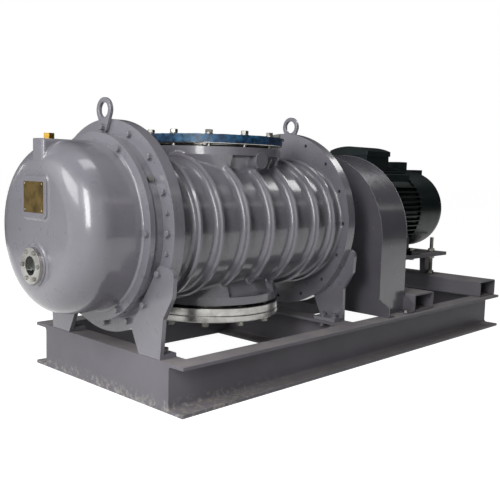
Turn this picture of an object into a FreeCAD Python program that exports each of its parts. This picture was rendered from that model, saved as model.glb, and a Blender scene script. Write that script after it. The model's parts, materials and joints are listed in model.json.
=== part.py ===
import FreeCAD, Part
import math
import os
import re
import Sketcher
from FreeCAD import Rotation, Vector

# A rotary-lobe vacuum booster pump with its belt drive and motor on a channel skid.
# X runs along the shafts, from the gear end to the motor. Y runs across, with the
# drive shaft on the -Y side. Z is up, and the skid's underside is at zero.
# Stations are distances along X from the skid's gear end.

SIZES = [
    ("frame_width", 1080),
    ("channel_height", 200),
    ("channel_flange", 95),
    ("channel_web", 9),
    ("channel_lip", 14),
    ("channel_root", 14),
    ("tube_width", 200),
    ("tube_height", 98),
    ("tube_wall", 8),
    ("tube_corner", 12),
    ("tube_inset", 30),
    ("tube_gap", 12),
    ("shaft_height", 700),
    ("gear_plate_station", 23),
    ("plate_radius", 450),
    ("plate_thick", 25),
    ("housing_length", 1114),
    ("housing_flange_thick", 28),
    ("rotor_offset", 145),
    ("rotor_clearance", 0.6),
    ("bore_clearance", 0.6),
    ("rotor_end_gap", 0.8),
    ("casing_wall", 34),
    ("barrel_inset", 35),
    ("rib_height", 30),
    ("rib_width", 24),
    ("rib_chamfer", 7),
    ("rib_pitch", 157),
    ("gear_rib_setback", 138),
    ("drive_rib_setback", 104),
    ("port_offset", 17),
    ("port_radius", 190),
    ("port_face", 352),
    ("port_pad_radius", 330),
    ("port_pad_thick", 36),
    ("port_shoulder_low", 290),
    ("port_neck_low", 235),
    ("port_neck_top", 300),
    ("gasket_radius", 286),
    ("gasket_thick", 8),
    ("ring_radius", 337),
    ("ring_thick", 36),
    ("ring_raised_radius", 272),
    ("ring_raised", 4),
    ("ring_edge", 3),
    ("blank_thick", 28),
    ("film_board_thick", 4),
    ("port_bolt_circle", 312),
    ("port_bolt_count", 12),
    ("port_bolt_turn", 15),
    ("port_bolt_depth", 30),
    ("tapping_boss_radius", 38),
    ("tapping_boss_reach", 335),
    ("tapping_boss_rise", 297),
    ("gear_boss_radius", 386),
    ("gear_boss_length", 46),
    ("drive_boss_radius", 285),
    ("drive_boss_length", 45),
    ("cover_flange_radius", 394),
    ("cover_flange_thick", 25),
    ("cover_radius", 350),
    ("cover_depth", 257),
    ("cover_corner", 122),
    ("cover_wall", 12),
    ("cover_root", 8),
    ("cover_bolt_circle", 373),
    ("cover_bolt_count", 6),
    ("cover_bolt_turn", 30),
    ("filler_block_width", 84),
    ("filler_block_setback", 7),
    ("filler_block_drop", 84),
    ("filler_block_rise", 4),
    ("filler_block_corner", 14),
    ("filler_plug_setback", 52),
    ("filler_plug_flat", 40),
    ("filler_plug_height", 22),
    ("filler_thread_radius", 15),
    ("filler_thread_length", 24),
    ("nameplate_rise", 126),
    ("name_pad_width", 190),
    ("name_pad_height", 165),
    ("name_pad_thick", 10),
    ("name_pad_corner", 25),
    ("nameplate_width", 145),
    ("nameplate_height", 121),
    ("nameplate_thick", 2),
    ("nameplate_margin", 9),
    ("nameplate_screw_radius", 3),
    ("sight_drop", 143),
    ("sight_boss_radius", 82),
    ("sight_flange_radius", 73),
    ("sight_flange_thick", 17),
    ("sight_opening_radius", 38),
    ("sight_glass_radius", 48),
    ("sight_glass_thick", 8),
    ("sight_bolt_circle", 59),
    ("sight_bolt_count", 6),
    ("sight_bolt_turn", 30),
    ("sight_bolt_radius", 5),
    ("drive_cover_radius", 280),
    ("drive_cover_flange", 16),
    ("drive_cover_cup", 245),
    ("drive_cover_length", 80),
    ("drive_cover_wall", 12),
    ("drive_cover_corner", 30),
    ("drive_cover_bolt_circle", 263),
    ("drive_cover_bolt_count", 12),
    ("plate_bolt_circle", 415),
    ("plate_bolt_count", 16),
    ("plate_bolt_radius", 8),
    ("bolt_clearance", 0.5),
    ("plate_bolt_reach", 12),
    ("large_bolt_radius", 10),
    ("side_plug_radius", 13),
    ("side_plug_angle", 58),
    ("side_plug_station", -6),
    ("foot_thick", 20),
    ("foot_base_in", 260),
    ("foot_base_out", 396),
    ("foot_knee_out", 411),
    ("foot_knee_rise", 165),
    ("foot_elbow_out", 467),
    ("foot_elbow_rise", 258),
    ("foot_shoulder_out", 474),
    ("foot_shoulder_rise", 362),
    ("foot_crown_out", 384),
    ("foot_crown_rise", 380),
    ("foot_hip_out", 206),
    ("foot_hip_rise", 105),
    ("foot_bend", 36),
    ("drive_foot_inset", 18),
    ("foot_tab_length", 64),
    ("foot_tab_thick", 18),
    ("foot_bolt_inner", 292),
    ("foot_bolt_outer", 364),
    ("foot_bolt_station", 30),
    ("lug_rise", 487),
    ("lug_eye_radius", 31),
    ("lug_ring_radius", 51),
    ("lug_thick", 18),
    ("lug_edge", 5),
    ("lug_foot_radius", 22),
    ("shaft_radius", 50),
    ("journal_radius", 40),
    ("bearing_radius", 80),
    ("bearing_width", 45),
    ("seal_radius", 64),
    ("seal_width", 14),
    ("running_clearance", 0.05),
    ("seat_clearance", 0.05),
    ("gear_tooth_count", 29),
    ("gear_width", 60),
    ("gear_backlash", 1.2),
    ("gear_gap", 12),
    ("slinger_radius", 165),
    ("slinger_thick", 8),
    ("slinger_gap", 14),
    ("slinger_wing", 14),
    ("shaft_end", 16),
    ("guard_gap", 126),
    ("guard_length", 240),
    ("guard_overhang", 3),
    ("guard_arc_height", 606),
    ("guard_sheet", 5),
    ("guard_flare", 67),
    ("guard_flare_low", 50),
    ("guard_flare_rise", 90),
    ("guard_shaft_hole", 75),
    ("guard_motor_hole", 95),
    ("guard_tab_length", 56),
    ("guard_tab_width", 60),
    ("guard_bolt_offset", 37),
    ("guard_bolt_station", 32),
    ("pulley_gap", 50),
    ("belt_count", 4),
    ("belt_pitch", 20),
    ("belt_width", 14),
    ("belt_thick", 12),
    ("belt_sink", 10),
    ("belt_gap", 0.3),
    ("groove_flare", 2),
    ("pulley_margin", 16),
    ("shaft_proud", 14),
    ("pump_pulley_radius", 130),
    ("motor_pulley_radius", 105),
    ("motor_across", 110),
    ("motor_height", 280),
    ("motor_plate_top", 445),
    ("motor_plate_thick", 22),
    ("motor_plate_near", 160),
    ("motor_plate_far", 375),
    ("motor_plate_setback", 15),
    ("motor_plate_length", 945),
    ("motor_plate_margin", 10),
    ("motor_frame_setback", 100),
    ("motor_frame_length", 545),
    ("motor_frame_radius", 238),
    ("motor_fin_radius", 273),
    ("motor_fin_pitch", 30),
    ("motor_fin_pairs", 5),
    ("motor_fin_thick", 6),
    ("motor_fin_inset", 22),
    ("motor_core_radius", 150),
    ("motor_air_gap", 1),
    ("motor_core_inset", 50),
    ("shield_thick", 22),
    ("shield_radius", 244),
    ("shield_nose_radius", 85),
    ("shield_nose_length", 24),
    ("cowl_radius", 250),
    ("cowl_wall", 3),
    ("cowl_length", 330),
    ("cowl_corner", 95),
    ("cowl_lap", 22),
    ("grille_slot_count", 18),
    ("grille_slot_width", 12),
    ("grille_inner", 60),
    ("grille_outer", 135),
    ("fan_radius", 200),
    ("fan_blade_count", 8),
    ("fan_blade_width", 60),
    ("fan_blade_thick", 6),
    ("fan_hub_radius", 60),
    ("fan_gap", 40),
    ("motor_shaft_radius", 36),
    ("motor_foot_spacing", 457),
    ("motor_foot_width", 64),
    ("motor_foot_length", 100),
    ("motor_foot_thick", 26),
    ("motor_foot_inset", 74),
    ("motor_foot_web", 24),
    ("motor_foot_web_in", 64),
    ("motor_foot_web_rise", 165),
    ("terminal_box_setback", 101),
    ("terminal_box_length", 238),
    ("terminal_box_width", 270),
    ("terminal_box_across", 134.5),
    ("terminal_box_top", 1062),
    ("terminal_lid_lap", 9),
    ("terminal_lid_rim", 28),
    ("terminal_lid_crown", 28),
    ("terminal_lid_edge", 8),
    ("top_block_length", 85),
    ("top_block_width", 100),
    ("front_block_setback", 45),
    ("front_block_top", 1036),
    ("rear_block_setback", 242),
    ("rear_block_top", 987),
    ("rear_block_foot", 890),
    ("hinge_across", 410),
    ("hinge_pin_radius", 15),
    ("hinge_knuckle_radius", 30),
    ("hinge_knuckle_length", 80),
    ("hinge_cheek_thick", 16),
    ("hinge_gap", 1),
    ("hinge_head_radius", 22),
    ("hinge_head_thick", 7),
    ("stud_radius", 12),
    ("stud_across", 97),
    ("stud_top", 540),
    ("stud_hole_clearance", 5),
    ("nut_flat", 38),
    ("nut_height", 20),
    ("nut_lift", 1.3),
    ("post_across", 50),
    ("post_top_width", 44),
    ("post_foot_width", 30),
    ("post_length", 60),
    ("post_clearance", 0.3),
]

# What follows from the driving sizes: stations, heights and fits shared by several pieces.
DERIVED = [
    ("web_out", "frame_width / 2 - channel_flange"),
    ("tube_top", "channel_height + tube_height"),
    ("tube_length", "frame_width - 2 * tube_inset"),
    ("housing_start", "gear_plate_station + plate_thick"),
    ("housing_end", "housing_start + housing_length"),
    ("port_station", "housing_start + housing_length / 2 + port_offset"),
    ("drive_plate_back", "housing_end + plate_thick"),
    ("gear_foot_station", "gear_plate_station - foot_thick"),
    ("middle_channel_station", "drive_plate_back + foot_thick + channel_web / 2"),
    ("boss_face", "gear_plate_station - gear_boss_length"),
    ("cover_face", "boss_face - cover_flange_thick"),
    ("cover_front", "cover_face - cover_depth"),
    ("pad_front", "cover_front - name_pad_thick"),
    ("sight_front", "pad_front - sight_flange_thick"),
    ("sight_head", "sight_bolt_radius * 1.3"),
    ("nose", "sight_front - sight_head"),
    ("sight_height", "shaft_height - sight_drop"),
    ("name_height", "shaft_height + nameplate_rise"),
    ("block_front", "cover_front + filler_block_setback"),
    ("block_top", "shaft_height + cover_radius + filler_block_rise"),
    ("filler_station", "block_front + filler_plug_setback"),
    ("bore_radius", "rotor_offset * 1.5 - rotor_clearance + bore_clearance"),
    ("barrel_offset", "rotor_offset - barrel_inset"),
    ("barrel_radius", "bore_radius + casing_wall + barrel_inset"),
    ("rib_radius", "barrel_radius + rib_height"),
    ("ring_face", "port_face + gasket_thick + ring_raised"),
    ("ring_back", "ring_face + ring_thick"),
    ("plate_hole", "plate_bolt_radius + bolt_clearance"),
    ("large_hole", "large_bolt_radius + bolt_clearance"),
    ("bearing_bore", "bearing_radius + seat_clearance"),
    ("seal_bore", "seal_radius + seat_clearance"),
    ("shaft_hole", "shaft_radius + running_clearance"),
    ("drive_boss_face", "drive_plate_back + drive_boss_length"),
    ("drive_cover_end", "drive_boss_face + drive_cover_length"),
    ("gear_start", "boss_face - gear_gap - gear_width"),
    ("slinger_start", "gear_start - slinger_gap - slinger_thick"),
    ("guard_station", "drive_cover_end + guard_gap"),
    ("guard_end", "guard_station + guard_length"),
    ("guard_radius", "web_out + guard_overhang"),
    ("guard_flare_out", "web_out + guard_flare"),
    ("guard_bolt_across", "web_out + guard_bolt_offset"),
    ("pulley_width", "(belt_count - 1) * belt_pitch + 2 * pulley_margin"),
    ("pulley_start", "guard_station + pulley_gap"),
    ("pulley_end", "pulley_start + pulley_width"),
    ("front_tube_station", "guard_end + tube_gap"),
    ("front_tube_middle", "front_tube_station + tube_width / 2"),
    ("motor_plate_start", "front_tube_station + motor_plate_setback"),
    ("motor_plate_end", "motor_plate_start + motor_plate_length"),
    ("frame_length", "motor_plate_end + motor_plate_margin"),
    ("rear_tube_station", "frame_length - tube_width"),
    ("rear_tube_middle", "rear_tube_station + tube_width / 2"),
    ("motor_frame_start", "motor_plate_start + motor_frame_setback"),
    ("terminal_box_station", "motor_frame_start + terminal_box_setback"),
    ("motor_axis", "motor_plate_top + motor_height"),
    ("plate_under", "motor_plate_top - motor_plate_thick"),
    ("motor_frame_end", "motor_frame_start + motor_frame_length"),
    ("shield_back", "motor_frame_end + shield_thick"),
    ("cowl_start", "motor_frame_end - cowl_lap"),
    ("cowl_end", "cowl_start + cowl_length"),
    ("front_block_station", "cowl_start + front_block_setback"),
    ("rear_block_station", "cowl_start + rear_block_setback"),
    ("fan_start", "shield_back + shield_nose_length + fan_gap"),
    ("hinge_height", "motor_plate_top - motor_plate_thick / 2"),
    ("mid_station", "(max(frame_length; cowl_end) + nose) / 2"),
]

doc = FreeCAD.newDocument("booster_pump")
sizes_sheet = doc.addObject("Spreadsheet::Sheet", "Sizes")
derived_sheet = doc.addObject("Spreadsheet::Sheet", "Derived")
working_sheet = doc.addObject("Spreadsheet::Sheet", "Working")

OWNER = {name: "Sizes" for name, value in SIZES}
OWNER.update({name: "Derived" for name, formula in DERIVED})


def bound(formula):
    """A formula of size names, with each name led by the sheet that holds it."""
    def owned(word):
        name = word.group()
        return OWNER[name] + "." + name if name in OWNER else name
    return re.sub(r"[a-z]+(_[a-z]+)*", owned, formula)


for row, (name, value) in enumerate(SIZES, start=1):
    sizes_sheet.set("A%d" % row, name)
    sizes_sheet.set("B%d" % row, str(value))
    sizes_sheet.setAlias("B%d" % row, name)
doc.recompute()
for row, (name, formula) in enumerate(DERIVED, start=1):
    derived_sheet.set("A%d" % row, name)
    derived_sheet.set("B%d" % row, "=" + bound(formula))
    derived_sheet.setAlias("B%d" % row, name)
    derived_sheet.recompute()


def worth(formula):
    """What a formula of size names comes to now."""
    working_sheet.set("A1", "=0 + (" + bound(formula) + ")")
    working_sheet.recompute()
    return float(working_sheet.get("A1"))


FINISHED = []


def finish(piece, label):
    """Name a finished sub-part and move it from stations to the part's own frame."""
    piece.Label = label
    piece.setExpression("Placement.Base.x", bound("-mid_station"))
    FINISHED.append(piece)
    return piece


def shaped(label, shape):
    """A sub-part made straight from solids or curves."""
    piece = doc.addObject("Part::Feature", label)
    piece.Shape = shape
    return finish(piece, label)


def place(piece, x, y, z):
    """Bind a primitive's position."""
    piece.setExpression("Placement.Base.x", bound(x))
    piece.setExpression("Placement.Base.y", bound(y))
    piece.setExpression("Placement.Base.z", bound(z))
    return piece


def box(name, length, width, height, x, y, z):
    piece = doc.addObject("Part::Box", name)
    piece.setExpression("Length", bound(length))
    piece.setExpression("Width", bound(width))
    piece.setExpression("Height", bound(height))
    return place(piece, x, y, z)


ALONG_X = Vector(1, 0, 0)
ALONG_Y = Vector(0, 1, 0)
ALONG_Z = Vector(0, 0, 1)


def rod(name, radius, length, x, y, z, along=ALONG_X):
    """A cylinder along an axis."""
    piece = doc.addObject("Part::Cylinder", name)
    piece.Placement.Rotation = Rotation(ALONG_Z, along)
    piece.setExpression("Radius", bound(radius))
    piece.setExpression("Height", bound(length))
    return place(piece, x, y, z)


def rod_ring(name, circle, count, radius, length, station, up, turn="0"):
    """Cylinders along X, evenly spaced on a circle from an angle off its top."""
    pieces = []
    for number in range(int(worth(count))):
        angle = "(%s + 360 * %d / %s)" % (turn, number, count)
        pieces.append(rod("%s_%d" % (name, number), radius, length, station,
                          "%s * sin%s" % (circle, angle), "%s + %s * cos%s" % (up, circle, angle)))
    return pieces


def rounded(name, base, radius, chosen):
    """Round the edges of a primitive that the test picks."""
    doc.recompute()
    piece = doc.addObject("Part::Fillet", name)
    piece.Base = base
    size = worth(radius)
    piece.Edges = [(number, size, size) for number, edge in enumerate(base.Shape.Edges, start=1)
                   if chosen(edge)]
    return piece


def fuse(name, pieces):
    joined = doc.addObject("Part::MultiFuse", name)
    joined.Shapes = pieces
    joined.Refine = True
    return joined


def cut(name, base, tools):
    result = doc.addObject("Part::Cut", name)
    result.Base = base
    result.Tool = tools[0] if len(tools) == 1 else fuse(name + "_tools", tools)
    return result


def common(name, first, second):
    result = doc.addObject("Part::Common", name)
    result.Base = first
    result.Tool = second
    return result


# Sketches and features

def body(name):
    return doc.addObject("PartDesign::Body", name)


def sketch_on(owner, name, role, lift="0", across="0", up="0"):
    """A sketch on one of the body's own origin planes, with its origin moved."""
    sketch = owner.newObject("Sketcher::SketchObject", name)
    plane = [item for item in owner.Origin.OriginFeatures if item.Role == role][0]
    sketch.AttachmentSupport = [(plane, "")]
    sketch.MapMode = "FlatFace"
    sketch.setExpression("AttachmentOffset.Base.x", bound(across))
    sketch.setExpression("AttachmentOffset.Base.y", bound(up))
    sketch.setExpression("AttachmentOffset.Base.z", bound(lift))
    return sketch


ORIGIN = -1
START = 1
END = 2
CENTRE = 3


def tie(sketch, kind, formula, value, *where):
    """A driving constraint bound to a formula of sizes."""
    index = sketch.addConstraint(Sketcher.Constraint(kind, *where, value))
    sketch.setExpression("Constraints[%d]" % index, bound(formula))


def tie_point(sketch, geometry, point, across, up, position):
    tie(sketch, "DistanceX", across, position.x, ORIGIN, START, geometry, point)
    tie(sketch, "DistanceY", up, position.y, ORIGIN, START, geometry, point)


def outline(sketch, corners):
    """Straight edges through the corners, each corner tied to the sizes."""
    points = [Vector(worth(across), worth(up), 0) for across, up in corners]
    count = len(points)
    for number in range(count):
        sketch.addGeometry(Part.LineSegment(points[number], points[(number + 1) % count]))
    for number in range(count):
        sketch.addConstraint(Sketcher.Constraint("Coincident", number, END, (number + 1) % count, START))
    for number, (across, up) in enumerate(corners):
        tie_point(sketch, number, START, across, up, points[number])
    return sketch


def rectangle(sketch, width, height, across="0", up="0"):
    """A rectangle about a middle point."""
    sides = ("-(%s) / 2" % width, "(%s) / 2" % width)
    ends = ("-(%s) / 2" % height, "(%s) / 2" % height)
    order = ((0, 0), (1, 0), (1, 1), (0, 1))
    return outline(sketch, [("(%s) + %s" % (across, sides[i]), "(%s) + %s" % (up, ends[k]))
                            for i, k in order])


def circles(sketch, rounds):
    """Circles, each given by across, up and radius."""
    for across, up, radius in rounds:
        centre = Vector(worth(across), worth(up), 0)
        number = sketch.addGeometry(Part.Circle(centre, ALONG_Z, worth(radius)))
        tie_point(sketch, number, CENTRE, across, up, centre)
        tie(sketch, "Radius", radius, worth(radius), number)
    return sketch


def pad(owner, sketch, length, name):
    """Material from the sketch plane along its normal."""
    feature = owner.newObject("PartDesign::Pad", name)
    feature.Profile = sketch
    feature.setExpression("Length", bound(length))
    return feature


def pocket(owner, sketch, length, name, forward=True):
    """A cut from the sketch plane, along its normal or against it."""
    feature = owner.newObject("PartDesign::Pocket", name)
    feature.Profile = sketch
    feature.Reversed = forward
    feature.setExpression("Length", bound(length))
    return feature


def ring_pattern(owner, feature, sketch, count, name):
    """Repeat a feature round the normal through its sketch's origin."""
    pattern = owner.newObject("PartDesign::PolarPattern", name)
    pattern.Originals = [feature]
    pattern.Axis = (sketch, ["N_Axis"])
    pattern.Angle = 360
    pattern.setExpression("Occurrences", bound(count))
    owner.Tip = pattern
    return pattern


def turned(owner, name, corners, across="0", up="shaft_height"):
    """A profile of station and radius, turned about an axis along X."""
    sketch = sketch_on(owner, name + "_profile", "XZ_Plane", "-(%s)" % across, "0", up)
    outline(sketch, corners)
    feature = owner.newObject("PartDesign::Revolution", name)
    feature.Profile = sketch
    feature.ReferenceAxis = (sketch, ["H_Axis"])
    feature.Angle = 360
    return feature


def disc(owner, name, radius, station, length, across="0", up="shaft_height"):
    """A round pad that stands on a plane across the shafts."""
    sketch = sketch_on(owner, name + "_circle", "YZ_Plane", station, across, up)
    return pad(owner, circles(sketch, [("0", "0", radius)]), length, name)


def bore(owner, name, radius, station, length, across="0", up="shaft_height"):
    """A round cut along X."""
    sketch = sketch_on(owner, name + "_circle", "YZ_Plane", station, across, up)
    return pocket(owner, circles(sketch, [("0", "0", radius)]), length, name)


def bore_ring(owner, name, circle, count, radius, station, length, across="0", up="shaft_height",
              turn="0"):
    """Holes along X, evenly spaced on a circle from an angle off its top."""
    sketch = sketch_on(owner, name + "_circle", "YZ_Plane", station, across, up)
    start = ("%s * sin(%s)" % (circle, turn), "%s * cos(%s)" % (circle, turn), radius)
    first = pocket(owner, circles(sketch, [start]), length, name)
    return ring_pattern(owner, first, sketch, count, name + "_ring")


def edge_names(feature, chosen):
    return ["Edge%d" % number for number, edge in enumerate(feature.Shape.Edges, start=1)
            if chosen(edge)]


def fillet(owner, base, name, radius, chosen):
    """Round the edges of the feature that the test picks."""
    doc.recompute()
    feature = owner.newObject("PartDesign::Fillet", name)
    feature.Base = (base, edge_names(base, chosen))
    feature.setExpression("Radius", bound(radius))
    return feature


def straight_along(edge, axis):
    if edge.Curve.TypeId != "Part::GeomLine":
        return False
    span = edge.Vertexes[-1].Point.sub(edge.Vertexes[0].Point)
    return abs(span.dot(axis)) > span.Length * 0.999 > 0


def circular(edge, radius, station=None):
    """Whether an edge is an arc of a radius, and at a station where one is given."""
    if edge.Curve.TypeId != "Part::GeomCircle":
        return False
    if abs(edge.Curve.Radius - worth(radius)) > 0.01:
        return False
    return station is None or abs(edge.Curve.Center.x - worth(station)) < 0.01


# Plain solids for fasteners

TOWARDS_GEAR = Vector(-1, 0, 0)
TOWARDS_MOTOR = Vector(1, 0, 0)
UPWARDS = Vector(0, 0, 1)
DOWNWARDS = Vector(0, 0, -1)
HEAD_FLAT_RATIO = 3.0
HEAD_HEIGHT_RATIO = 1.3


def hexagon(flat, height, base, direction):
    """A hexagonal head or nut that stands on its base point along a direction."""
    corner = flat / math.sqrt(3)
    turn = Rotation(ALONG_Z, direction)
    ring = []
    for number in range(7):
        angle = math.radians(60 * number)
        ring.append(base + turn.multVec(Vector(corner * math.cos(angle), corner * math.sin(angle), 0)))
    return Part.Face(Part.makePolygon(ring)).extrude(direction * height)


def bolt(radius, base, direction, grip):
    """A hexagon bolt: head on its seat, and shank back from it through the grip."""
    head = hexagon(radius * HEAD_FLAT_RATIO, radius * HEAD_HEIGHT_RATIO, base, direction)
    shank = Part.makeCylinder(radius, grip, base - direction * grip, direction)
    return head.fuse(shank)


def group(label, solids):
    return shaped(label, Part.makeCompound(solids))


def on_circle(radius, angle, up):
    """Y and Z of a point on a circle, by its angle from the top towards -Y."""
    turn = math.radians(angle)
    return -radius * math.sin(turn), up + radius * math.cos(turn)


def even_angles(count):
    return [360.0 * number / count for number in range(int(count))]


# Skid: rolled channels and two rectangular tubes, welded face to face

def channel(label, role, lift, length, back, side, axis, holes=()):
    """A channel with its web's back at one distance and its toes on the given side of it."""
    owner = body(label)
    web_face = "(%s) + (%d) * channel_web" % (back, side)
    toe = "(%s) + (%d) * channel_flange" % (back, side)
    upper = "channel_height - channel_lip"
    corners = [
        (back, "0"), (toe, "0"), (toe, "channel_lip"), (web_face, "channel_lip"),
        (web_face, upper), (toe, upper), (toe, "channel_height"), (back, "channel_height"),
    ]
    section = outline(sketch_on(owner, label + "_section", role, lift), corners)
    blank = pad(owner, section, length, label + "_length")
    inner = worth(web_face)
    levels = (worth("channel_lip"), worth(upper))

    def inner_corner(edge):
        if not straight_along(edge, axis):
            return False
        middle = edge.CenterOfMass
        across = middle.y if axis is ALONG_X else middle.x
        return abs(across - inner) < 0.01 and min(abs(middle.z - level) for level in levels) < 0.01

    fillet(owner, blank, label + "_roots", "channel_root", inner_corner)
    if holes:
        sketch = sketch_on(owner, label + "_holes", "XY_Plane", "channel_height")
        pocket(owner, circles(sketch, holes), "channel_lip", label + "_drilling", forward=False)
    return finish(owner, label)


def skid():
    tabs = ("guard_station + guard_bolt_station", "guard_end - guard_bolt_station")
    near_holes = [(station, "-guard_bolt_across", "plate_hole") for station in tabs]
    far_holes = [(station, "guard_bolt_across", "plate_hole") for station in tabs]
    channel("near_side_channel", "YZ_Plane", "0", "frame_length", "-web_out", -1, ALONG_X, near_holes)
    channel("far_side_channel", "YZ_Plane", "0", "frame_length", "web_out", 1, ALONG_X, far_holes)
    stations = [
        ("gear_end_channel", "0", 1, "gear_plate_station + foot_bolt_station"),
        ("middle_channel", "middle_channel_station", -1, "drive_plate_back - foot_bolt_station"),
        ("motor_end_channel", "frame_length", -1, None),
    ]
    for label, back, side, bolts in stations:
        holes = []
        if bolts:
            for sign in ("-", ""):
                for distance in ("foot_bolt_inner", "foot_bolt_outer"):
                    holes.append((bolts, sign + distance, "large_hole"))
        channel(label, "XZ_Plane", "-web_out", "2 * web_out", back, side, ALONG_Y, holes)


def cross_tube(label, station, middle):
    """A rectangular tube across the skid, with a rest post and a pair of hinge cheeks."""
    outer = box(label + "_outer", "tube_width", "tube_length", "tube_height",
                station, "-tube_length / 2", "channel_height")
    bore_box = box(label + "_bore", "tube_width - 2 * tube_wall", "tube_length + 2 * tube_wall",
                   "tube_height - 2 * tube_wall", station + " + tube_wall",
                   "-tube_length / 2 - tube_wall", "channel_height + tube_wall")
    outer = rounded(label + "_rounded", outer, "tube_corner",
                    lambda edge: straight_along(edge, ALONG_Y))
    tube = cut(label + "_tube", outer, [bore_box])
    rise = "plate_under - post_clearance - tube_top"
    post = doc.addObject("Part::Wedge", label + "_post")
    for side, formula in (
        ("Xmin", "0"), ("Xmax", "post_length"), ("Ymin", "0"), ("Ymax", rise),
        ("Zmin", "0"), ("Zmax", "post_foot_width"), ("X2min", "0"), ("X2max", "post_length"),
        ("Z2min", "(post_foot_width - post_top_width) / 2"),
        ("Z2max", "(post_foot_width + post_top_width) / 2"),
    ):
        post.setExpression(side, bound(formula))
    post.Placement.Rotation = Rotation(ALONG_X, 90)
    place(post, middle + " - post_length / 2", "-post_across + post_foot_width / 2", "tube_top")
    cheeks = []
    for side, offset in (("front", "-hinge_knuckle_length / 2 - hinge_gap - hinge_cheek_thick"),
                         ("rear", "hinge_knuckle_length / 2 + hinge_gap")):
        name = label + "_" + side
        cheek_station = middle + " + (%s)" % offset
        cheeks.append(box(name + "_cheek", "hinge_cheek_thick", "2 * hinge_knuckle_radius",
                          "hinge_height - tube_top", cheek_station,
                          "hinge_across - hinge_knuckle_radius", "tube_top"))
        cheeks.append(rod(name + "_cheek_top", "hinge_knuckle_radius", "hinge_cheek_thick",
                          cheek_station, "hinge_across", "hinge_height"))
    solid = fuse(label + "_welded", [tube, post] + cheeks)
    pin_hole = rod(label + "_pin_hole", "hinge_pin_radius + seat_clearance",
                   "hinge_knuckle_length + 4 * hinge_cheek_thick",
                   middle + " - hinge_knuckle_length / 2 - 2 * hinge_cheek_thick",
                   "hinge_across", "hinge_height")
    return finish(cut(label, solid, [pin_hole]), label)


# Pump casing

def obround(owner, name, lift, length, half_spacing, radius):
    """A pad whose section is two half circles side by side with flat top and bottom."""
    sketch = sketch_on(owner, name + "_section", "YZ_Plane", lift, "0", "shaft_height")
    near = Vector(-worth(half_spacing), 0, 0)
    far = Vector(worth(half_spacing), 0, 0)
    reach = worth(radius)
    drop = Vector(0, reach, 0)
    quarter = math.pi / 2
    sketch.addGeometry(Part.ArcOfCircle(Part.Circle(near, ALONG_Z, reach), quarter, 3 * quarter))
    sketch.addGeometry(Part.LineSegment(near - drop, far - drop))
    sketch.addGeometry(Part.ArcOfCircle(Part.Circle(far, ALONG_Z, reach), -quarter, quarter))
    sketch.addGeometry(Part.LineSegment(far + drop, near + drop))
    for first, second in ((0, 1), (1, 2), (2, 3), (3, 0)):
        sketch.addConstraint(Sketcher.Constraint("Tangent", first, END, second, START))
    tie_point(sketch, 0, CENTRE, "-(%s)" % half_spacing, "0", near)
    tie_point(sketch, 2, CENTRE, half_spacing, "0", far)
    tie(sketch, "Radius", radius, reach, 0)
    sketch.addConstraint(Sketcher.Constraint("Equal", 0, 2))
    return pad(owner, sketch, length, name)


def turned_up(owner, name, corners):
    """A profile of radius and rise, turned about the ports' upright axis."""
    sketch = sketch_on(owner, name + "_section", "YZ_Plane", "port_station", "0", "shaft_height")
    feature = owner.newObject("PartDesign::Revolution", name)
    feature.Profile = outline(sketch, corners)
    feature.ReferenceAxis = (sketch, ["V_Axis"])
    feature.Angle = 360


FIRST_PORT_HOLE = ("port_bolt_circle * sin(port_bolt_turn)", "port_bolt_circle * cos(port_bolt_turn)",
                   "large_hole")


def neck_casting(side, sign):
    """One port's pad and neck before the bores: wide at both ends, drawn in between two ribs."""
    owner = body(side + "_neck_casting")
    face = "(%d) * port_face" % sign
    root = "(%d) * (port_face - port_pad_thick)" % sign
    low = "(%d) * (bore_radius - casing_wall)" % sign
    turned_up(owner, side + "_shoulder", [
        ("0", low), ("port_shoulder_low", low), ("port_pad_radius", root), ("port_pad_radius", face),
        ("0", face),
    ])
    underside = low if sign > 0 else root
    recess = sketch_on(owner, side + "_recess_section", "XY_Plane", "shaft_height + " + underside,
                       "port_station")
    rectangle(recess, "2 * rib_pitch - rib_width", "2 * port_pad_radius + port_pad_thick")
    pocket(owner, recess, "port_face - port_pad_thick - bore_radius + casing_wall", side + "_recess")
    turned_up(owner, side + "_waist", [
        ("0", low), ("port_neck_low", low), ("port_neck_top", root), ("0", root),
    ])
    holes = sketch_on(owner, side + "_hole_circle", "XY_Plane", "shaft_height + " + face,
                      "port_station")
    hole = pocket(owner, circles(holes, [FIRST_PORT_HOLE]), "port_bolt_depth", side + "_hole", sign < 0)
    ring_pattern(owner, hole, holes, "port_bolt_count", side + "_hole_ring")
    return owner


def throat_rod(name):
    return rod(name, "port_radius", "2 * port_face", "port_station", "0", "shaft_height - port_face",
               ALONG_Z)


def port_necks():
    """The inlet neck carries a tapping boss on its near side. Both are bored with the housing."""
    castings = [neck_casting("inlet", 1), neck_casting("outlet", -1)]
    boss = sketch_on(castings[0], "tapping_boss_circle", "XZ_Plane", "port_neck_low", "port_station",
                     "shaft_height + tapping_boss_rise")
    pad(castings[0], circles(boss, [("0", "0", "tapping_boss_radius")]),
        "tapping_boss_reach - port_neck_low", "tapping_boss")
    for side, casting in zip(("inlet", "outlet"), castings):
        label = side + "_neck"
        tools = [rod("%s_%s_bore" % (label, shaft), "bore_radius", "housing_length", "housing_start",
                     across, "shaft_height")
                 for shaft, across in (("drive", "-rotor_offset"), ("idler", "rotor_offset"))]
        tools.append(throat_rod(label + "_throat"))
        finish(cut(label, casting, tools), label)
    return castings


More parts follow.
